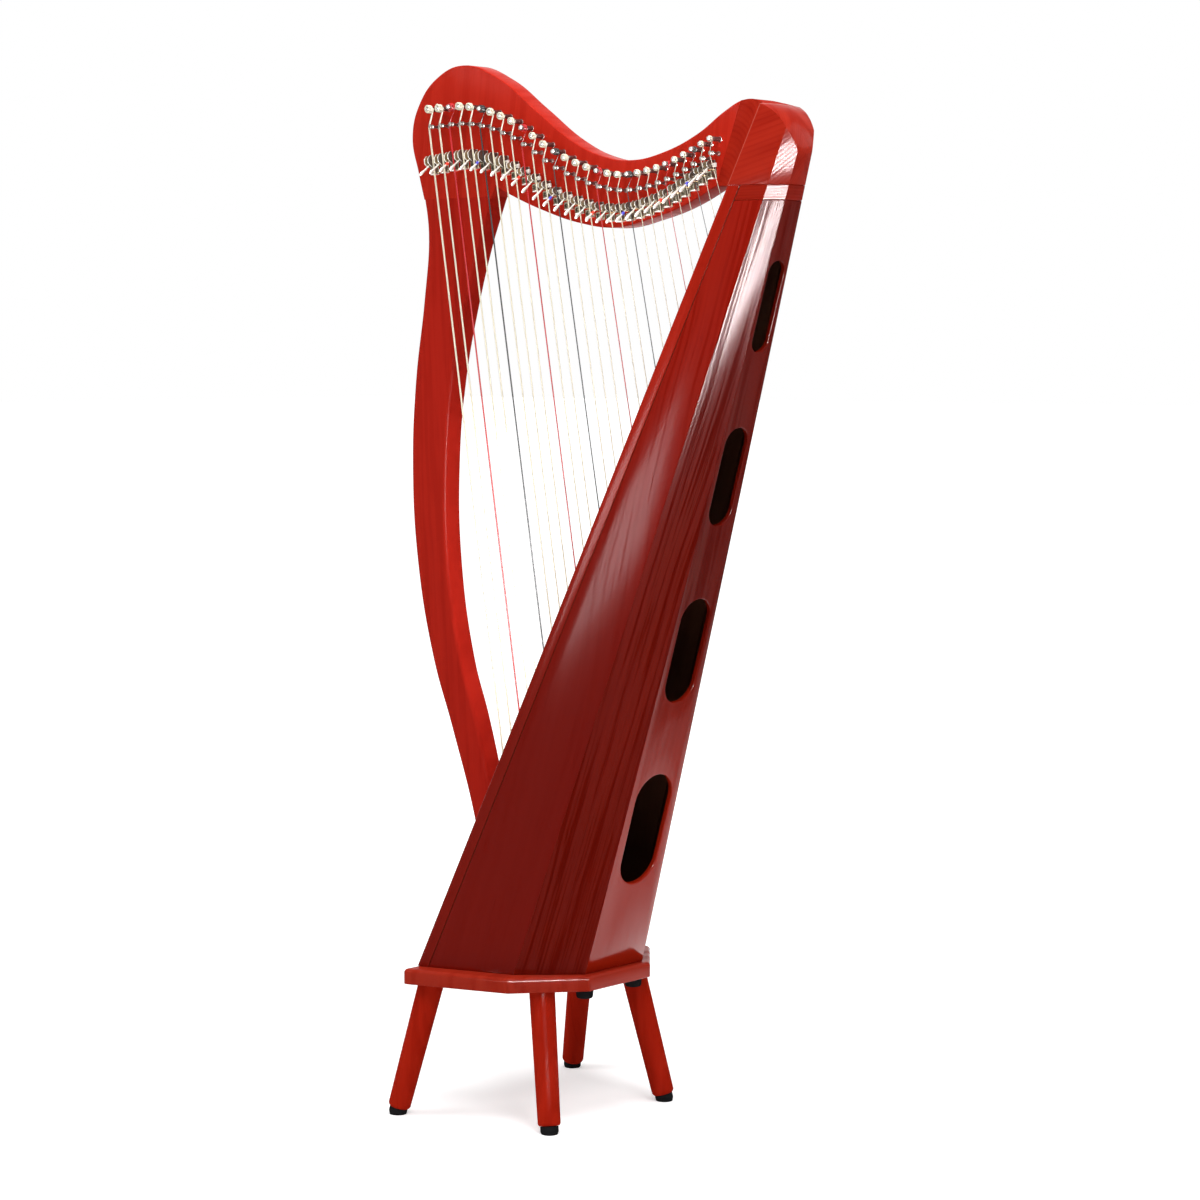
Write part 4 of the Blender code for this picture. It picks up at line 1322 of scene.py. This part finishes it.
pins = stand_along("tuning_pins", tuning_pin(), [p.tuning for p in PATHS], PIN_STEEL, spread=0.75)
piece("tuning_pins", pins, PIN_STEEL)
pins = stand_along("bridge_pins", bridge_pin(), [p.bridge for p in PATHS], BRIDGE_STEEL)
piece("bridge_pins", pins, BRIDGE_STEEL)

PLATE_HALF = EAR_OPENING / 2 + EAR_THICK
HOUSING_MIDDLE = -CHEEK_FACE - PLATE_HALF
FOOT_REACH = 0.0150
FOOT_OUT = 0.0080
FOOT_TALL = 0.0075
BASE_OUT = 0.0012


def lever_housing(r, reach):
    """Base plate and two rounded cheeks; r is half their height, reach how far they stand out."""
    root = LEVER_AXLE_OUT + 0.0005
    out = LEVER_AXLE_OUT - reach
    ring = [(root, -r), (root, r), (out + 0.0042, r), (out, r * 0.4), (out, -r * 0.4), (out + 0.0055, -r)]
    line = eased(wound(ring), r * 0.38, 4)
    cheeks = []
    for sign in (-1, 1):
        middle = HOUSING_MIDDLE + sign * (EAR_OPENING + EAR_THICK) / 2
        cheeks.append(moved(slab(line, EAR_THICK / 2, 0.0004, 0.0004, 2), across(middle)))
    high = r + 0.0003
    half = PLATE_HALF + 0.0003
    plate = [Vector((-half, -FOOT_REACH)), Vector((half, -FOOT_REACH)), Vector((half, high)), Vector((-half, high))]
    base = slab(eased(plate, 0.0012, 3), (BASE_OUT + 0.0005) / 2, 0.0002, 0.0003, 2)
    base.transform(Matrix.Translation((HOUSING_MIDDLE, LEVER_AXLE_OUT + (0.0005 - BASE_OUT) / 2, 0)) @ UPRIGHT)
    mesh = boolean(joined(cheeks), base, "UNION")
    # painted shade: the far cheek's outer faces are marked to be painted dark brown
    mark(mesh, "oxide", lambda face: face.normal.x > 0.8 and face.center.x > HOUSING_MIDDLE + EAR_OPENING / 2)
    # the cheeks' inner faces and the bed are marked for a darker warm gilt, partly painted shade
    return mark(mesh, "gilt", lambda face: housing_gilt_and_shade(face, r))


def housing_gilt_and_shade(face, r):
    """The inner faces of the cheeks and the bed between them, painted a darker warm gilt: partly the metal's gold,
    partly painted shade between the cheeks.
    """
    centre = face.center
    between = abs(centre.x - HOUSING_MIDDLE) < EAR_OPENING / 2 + 0.0002
    return between and centre.z > -r - 0.002 and abs(face.normal.z) < 0.6


def lever_lug():
    """The block below the cheeks, with a round opening for its screw."""
    half = PLATE_HALF - 0.0003
    tall = FOOT_TALL / 2
    lug = [Vector((-half, -tall)), Vector((half, -tall)), Vector((half, tall)), Vector((-half, tall))]
    boss = slab(eased(lug, 0.0016, 4), (FOOT_OUT - BASE_OUT) / 2, 0.0002, 0.0006, 2)
    middle = -FOOT_REACH + 0.0010 + tall
    boss.transform(Matrix.Translation((HOUSING_MIDDLE, LEVER_AXLE_OUT - (FOOT_OUT + BASE_OUT) / 2, middle)) @ UPRIGHT)
    bore = revolve([(0.0, 0.004), (0.0024, 0.004), (0.0024, -0.0030), (0.0, -0.0030)], 18)
    bore.transform(Matrix.Translation((HOUSING_MIDDLE, LEVER_AXLE_OUT - FOOT_OUT, middle)) @ UPRIGHT)
    return boolean(boss, bore, "DIFFERENCE")


def lug_flange():
    """Bright lip under the lug."""
    half = PLATE_HALF + 0.0001
    lip = [Vector((-half, -0.0075)), Vector((half, -0.0075)), Vector((half, 0.0)), Vector((-half, 0.0))]
    mesh = slab(eased(lip, 0.0015, 4), 0.00055, 0.0003, 0.0003, 2)
    return moved(mesh, Matrix.Translation((HOUSING_MIDDLE, LEVER_AXLE_OUT - BASE_OUT + 0.0003, -FOOT_REACH + 0.0005)))


def housing_screw():
    """Round screw head with a cross cut, seen in the lug's opening."""
    head = revolve([(0.0, 0.0007), (0.0010, 0.0006), (0.0019, 0.0), (0.0019, -0.0008), (0.0, -0.0008)], 16)
    for turn in (0.0, math.pi / 2):
        cut = moved(block((0.0030, 0.0005, 0.0010), (0, 0, 0.0006)), Matrix.Rotation(turn, 4, "Z"))
        head = boolean(head, cut, "DIFFERENCE")
    middle = -FOOT_REACH + 0.0010 + FOOT_TALL / 2
    return moved(head, Matrix.Translation((HOUSING_MIDDLE, LEVER_AXLE_OUT - FOOT_OUT + 0.0024, middle)) @ UPRIGHT)


PIVOTS = [p.pivot for p in PATHS]
LEANS = [-LEAN] * STRINGS
for label, sizes, chosen in (("bass", BASS_EAR_SIZES, slice(0, BASS_LEVERS)),
                             ("treble", EAR_SIZES, slice(BASS_LEVERS, STRINGS))):
    piece("lever_cheeks_" + label, stand_along("lever_cheeks", lever_housing(*sizes), PIVOTS[chosen], HOUSING_METAL,
                                               LEANS[chosen]), HOUSING_METAL)
for label, shape, look in (("lugs", lever_lug(), LUG_METAL), ("flanges", lug_flange(), NICKEL),
                           ("screws", housing_screw(), DARK_STEEL)):
    piece("lever_" + label, stand_along("lever_" + label, shape, PIVOTS, look, LEANS), look)


def lever_arm():
    """Hub, thin stem, paddle, axle and cam of one lever, drawn with the handle at rest."""
    middle = HANDLE_PLACE
    sections = (
        (0.0000, 0.00075, 0.0020, 0.0),
        (0.0020, 0.00075, 0.0017, 0.0),
        (0.0045, 0.00072, 0.0010, 0.0),
        (0.0090, 0.00074, 0.0008, 0.0),
        (0.0135, 0.00080, 0.0009, 0.0),
        (0.0170, 0.00090, 0.0011, -0.0001),
        (0.0205, 0.00100, 0.0015, -0.0002),
        (0.0235, 0.00110, 0.0018, -0.0003),
        (0.0258, 0.00110, 0.0019, -0.0003),
        (0.0274, 0.00095, 0.0015, -0.0003),
        (0.0282, 0.00060, 0.0009, -0.0003),
        (HANDLE_LENGTH, 0.00025, 0.0005, -0.0003),
    )
    rings = []
    for along, thick, wide, shift in sections:
        ring = []
        for k in range(14):
            turn = 2 * math.pi * k / 14
            ring.append((middle + shift + thick * math.cos(turn), -along, wide * math.sin(turn)))
        rings.append(ring)
    rest = Matrix.Rotation(HANDLE_REST, 4, "X")
    handle = moved(solid(rings), rest)
    hub = revolve(rounded_profile([(0.0, 0.00075), (0.0030, 0.00075, 0.0003), (0.0030, -0.00075, 0.0003), (0.0, -0.00075)], 2), 20)
    hub.transform(Matrix.Translation((middle, 0, 0)) @ Matrix.Rotation(math.pi / 2, 4, "Y"))
    axle = revolve([(0.0, -middle), (AXLE_RADIUS, -middle), (AXLE_RADIUS, 0.0), (0.0, 0.0)], 14)
    axle.transform(Matrix.Translation((middle, 0, 0)) @ Matrix.Rotation(math.pi / 2, 4, "Y"))
    cam = slab(eased([Vector((-0.0013, -CAM_REACH)), Vector((0.0013, -CAM_REACH)), Vector((0.0013, 0.0010)),
                      Vector((-0.0013, 0.0010))], 0.0007, 3), 0.0020, 0.0003, 0.0003, 2)
    cam.transform(across(0.0))
    mesh = boolean(handle, hub, "UNION")
    mesh = boolean(mesh, axle, "UNION")
    return boolean(mesh, cam, "UNION")


def handle_sleeve():
    """Coloured sleeve round the handle's stem, on the C and F levers."""
    profile = [(0.0, 0.0152), (0.0016, 0.0152, 0.0004), (0.0016, 0.0110, 0.0004), (0.0, 0.0110)]
    tube = revolve(rounded_profile(profile, 3), 18)
    rest = Matrix.Rotation(HANDLE_REST, 4, "X")
    return moved(tube, rest @ Matrix.Translation((HANDLE_PLACE, 0, 0)) @ UPRIGHT)


def levers():
    arm = lever_arm()
    sleeve = handle_sleeve()
    for path in PATHS:
        place = Matrix.Translation(path.pivot) @ TILT
        body = "lever_%02d" % path.number
        piece("lever_handle_%02d" % path.number, moved(arm, place), NICKEL, body,
              ("lever_arm_%02d" % path.number,))
        if path.colour != "ivory":
            look = COLLAR_COLOURS["red" if path.colour == "red" else "blue"]
            piece("lever_sleeve_%02d" % path.number, moved(sleeve, place), look, body)


levers()


def string_tree():
    """Round cord along each drawn line, as thick as the line's own gauge."""
    tree, g, given = node_tree("strings", (("Sides", "Int", 10), ("Thickness", "Float", 1.0),
                                           ("Finish", "Material", None)))
    lines = g.node("GeometryNodeMeshToCurve", {}, {0: given["Geometry"]})
    gauge = g.node("GeometryNodeInputNamedAttribute", {"data_type": "FLOAT"}, {"Name": "gauge"})
    ring = g.node("GeometryNodeCurvePrimitiveCircle", {}, {"Resolution": given["Sides"], "Radius": 1.0})
    cord = g.node("GeometryNodeCurveToMesh", {}, {
        "Curve": lines, "Profile Curve": ring, "Scale": gauge * given["Thickness"], "Fill Caps": True})
    close_tree(tree, g, cord, given["Finish"])
    return tree


def strings():
    tree = string_tree()
    for colour, look in STRING_COLOURS.items():
        verts = []
        edges = []
        gauges = []
        for path in PATHS:
            if path.colour != colour:
                continue
            points = path.path()
            start = len(verts)
            verts += [tuple(p) for p in points]
            edges += [(start + k, start + k + 1) for k in range(len(points) - 1)]
            gauges += [path.radius] * len(points)
        mesh = bpy.data.meshes.new("lines")
        mesh.from_pydata(verts, edges, [])
        attribute = mesh.attributes.new("gauge", "FLOAT", "POINT")
        attribute.data.foreach_set("value", gauges)
        cords = grown(mesh, tree, {"Sides": 10, "Thickness": 1.0, "Finish": look})
        stands = ("string_set",) if colour == "ivory" else ()
        piece("strings_" + colour, cords, look, stands_for=stands, sharp=60)


strings()


def string_rib():
    rings = []
    for z in (PILLAR_SEAT + 0.0065, 0.9950):
        x = front_x(z) - GAP
        half = RIB_WIDTH / 2
        shape = [Vector((x - RIB_THICK, -half)), Vector((x, -half)), Vector((x, half)), Vector((x - RIB_THICK, half))]
        rings.append([(p.x, p.y, z) for p in eased(shape, [0.0012, 0.0002, 0.0002, 0.0012])])
    piece("string_rib", solid(rings), WOODS["rib"])


string_rib()


# floor, backdrop and light


def seen_directly(g):
    """1 for the eye, mirrors and glass; 0 for light that falls on the harp."""
    def ray(out):
        return g.node("ShaderNodeLightPath", out=out)
    return ray(0).math("MAXIMUM", ray(3)).math("MAXIMUM", ray(6))


def studio():
    world = bpy.data.worlds.new("studio")
    bpy.context.scene.world = world
    world.use_nodes = True
    g = Graph(world.node_tree)
    seen = seen_directly(g)
    back = world.node_tree.nodes["Background"]
    level = seen * 0.70 + 0.30
    world.node_tree.links.new(level.socket, back.inputs["Strength"])
    back.inputs["Color"].default_value = (1.0, 1.0, 1.0, 1.0)

    look = bpy.data.materials.new("floor_paper")
    look.use_nodes = True
    g = Graph(look.node_tree)
    place = g.place()
    paper = g.noise(place, 40.0, 3.0)
    look.node_tree.nodes.remove(look.node_tree.nodes["Principled BSDF"])
    tone = g.mix(paper, (0.80, 0.80, 0.80), (0.84, 0.84, 0.84))
    lit = g.node("ShaderNodeBsdfDiffuse", {}, {"Color": tone})
    away = g.node("ShaderNodeVectorMath", {"operation": "LENGTH"}, {0: place}, 1).step(0.35, 2.6)
    glow = g.node("ShaderNodeEmission", {}, {"Color": g.mix(away, (0.44, 0.44, 0.44), (1.0, 1.0, 1.0)), "Strength": 1.0})
    shown = g.node("ShaderNodeAddShader", {}, {0: lit, 1: glow})
    both = g.node("ShaderNodeMixShader", {}, {0: seen_directly(g), 1: lit, 2: shown})
    output = look.node_tree.nodes["Material Output"]
    look.node_tree.links.new(both.socket, output.inputs["Surface"])
    mesh = bpy.data.meshes.new("floor")
    reach = 40.0
    mesh.from_pydata([(-reach, -reach, 0), (reach, -reach, 0), (reach, reach, 0), (-reach, reach, 0)], [], [(0, 1, 2, 3)])
    mesh.materials.append(look)
    floor = bpy.data.objects.new("floor", mesh)
    bpy.context.scene.collection.objects.link(floor)
    floor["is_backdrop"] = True


def lamp(name, place, aim, width, height, power, diffuse=True):
    data = bpy.data.lights.new(name, "AREA")
    data.shape = "RECTANGLE"
    data.size = width
    data.size_y = height
    data.energy = power
    made = bpy.data.objects.new(name, data)
    bpy.context.scene.collection.objects.link(made)
    made.location = place
    made.rotation_euler = (Vector(place) - Vector(aim)).to_track_quat("Z", "Y").to_euler()
    made.visible_camera = False
    made.visible_diffuse = diffuse
    return made


studio()
lamp("key", (-2.1, -2.5, 2.55), (-0.05, 0.0, 0.75), 1.5, 1.5, 44.0)
lamp("high_front", (0.75, -1.5, 2.3), (0.1, 0.0, 1.1), 0.8, 0.8, 9.0)
lamp("overhead", (0.5, -0.2, 3.2), (0.1, 0.0, 0.6), 1.6, 1.6, 56.0)
lamp("right_fill", (1.8, -0.9, 2.4), (-0.1, 0.0, 0.6), 1.0, 1.0, 32.0)
lamp("inner_fill", (-0.085, 0.0, 0.60), (-0.25, 0.0, 0.56), 0.04, 0.34, 0.22)
lamp("low_strip", (1.42, -1.18, 0.52), (0.26, -0.02, 1.05), 1.0, 0.42, 480.0, False)
lamp("side_glow", (0.0, -2.2, 0.43), (0.08, -0.10, 0.66), 0.6, 0.30, 23.0, False)
lamp("back_high", (1.19, 1.37, 1.85), (0.33, 0.0, 1.08), 0.8, 0.8, 8.0, False)
lamp("back_near", (0.225, 0.32, 0.012), (0.225, 0.32, 1.0), 0.47, 0.60, 2.0, False)
lamp("back_far", (0.34, 0.43, 0.010), (0.34, 0.43, 1.0), 0.68, 0.82, 4.0, False)
low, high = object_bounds()
sizes = {"cad": [list(CAD_BOX[0]), list(CAD_BOX[1])], "visual": [list(low), list(high)]}
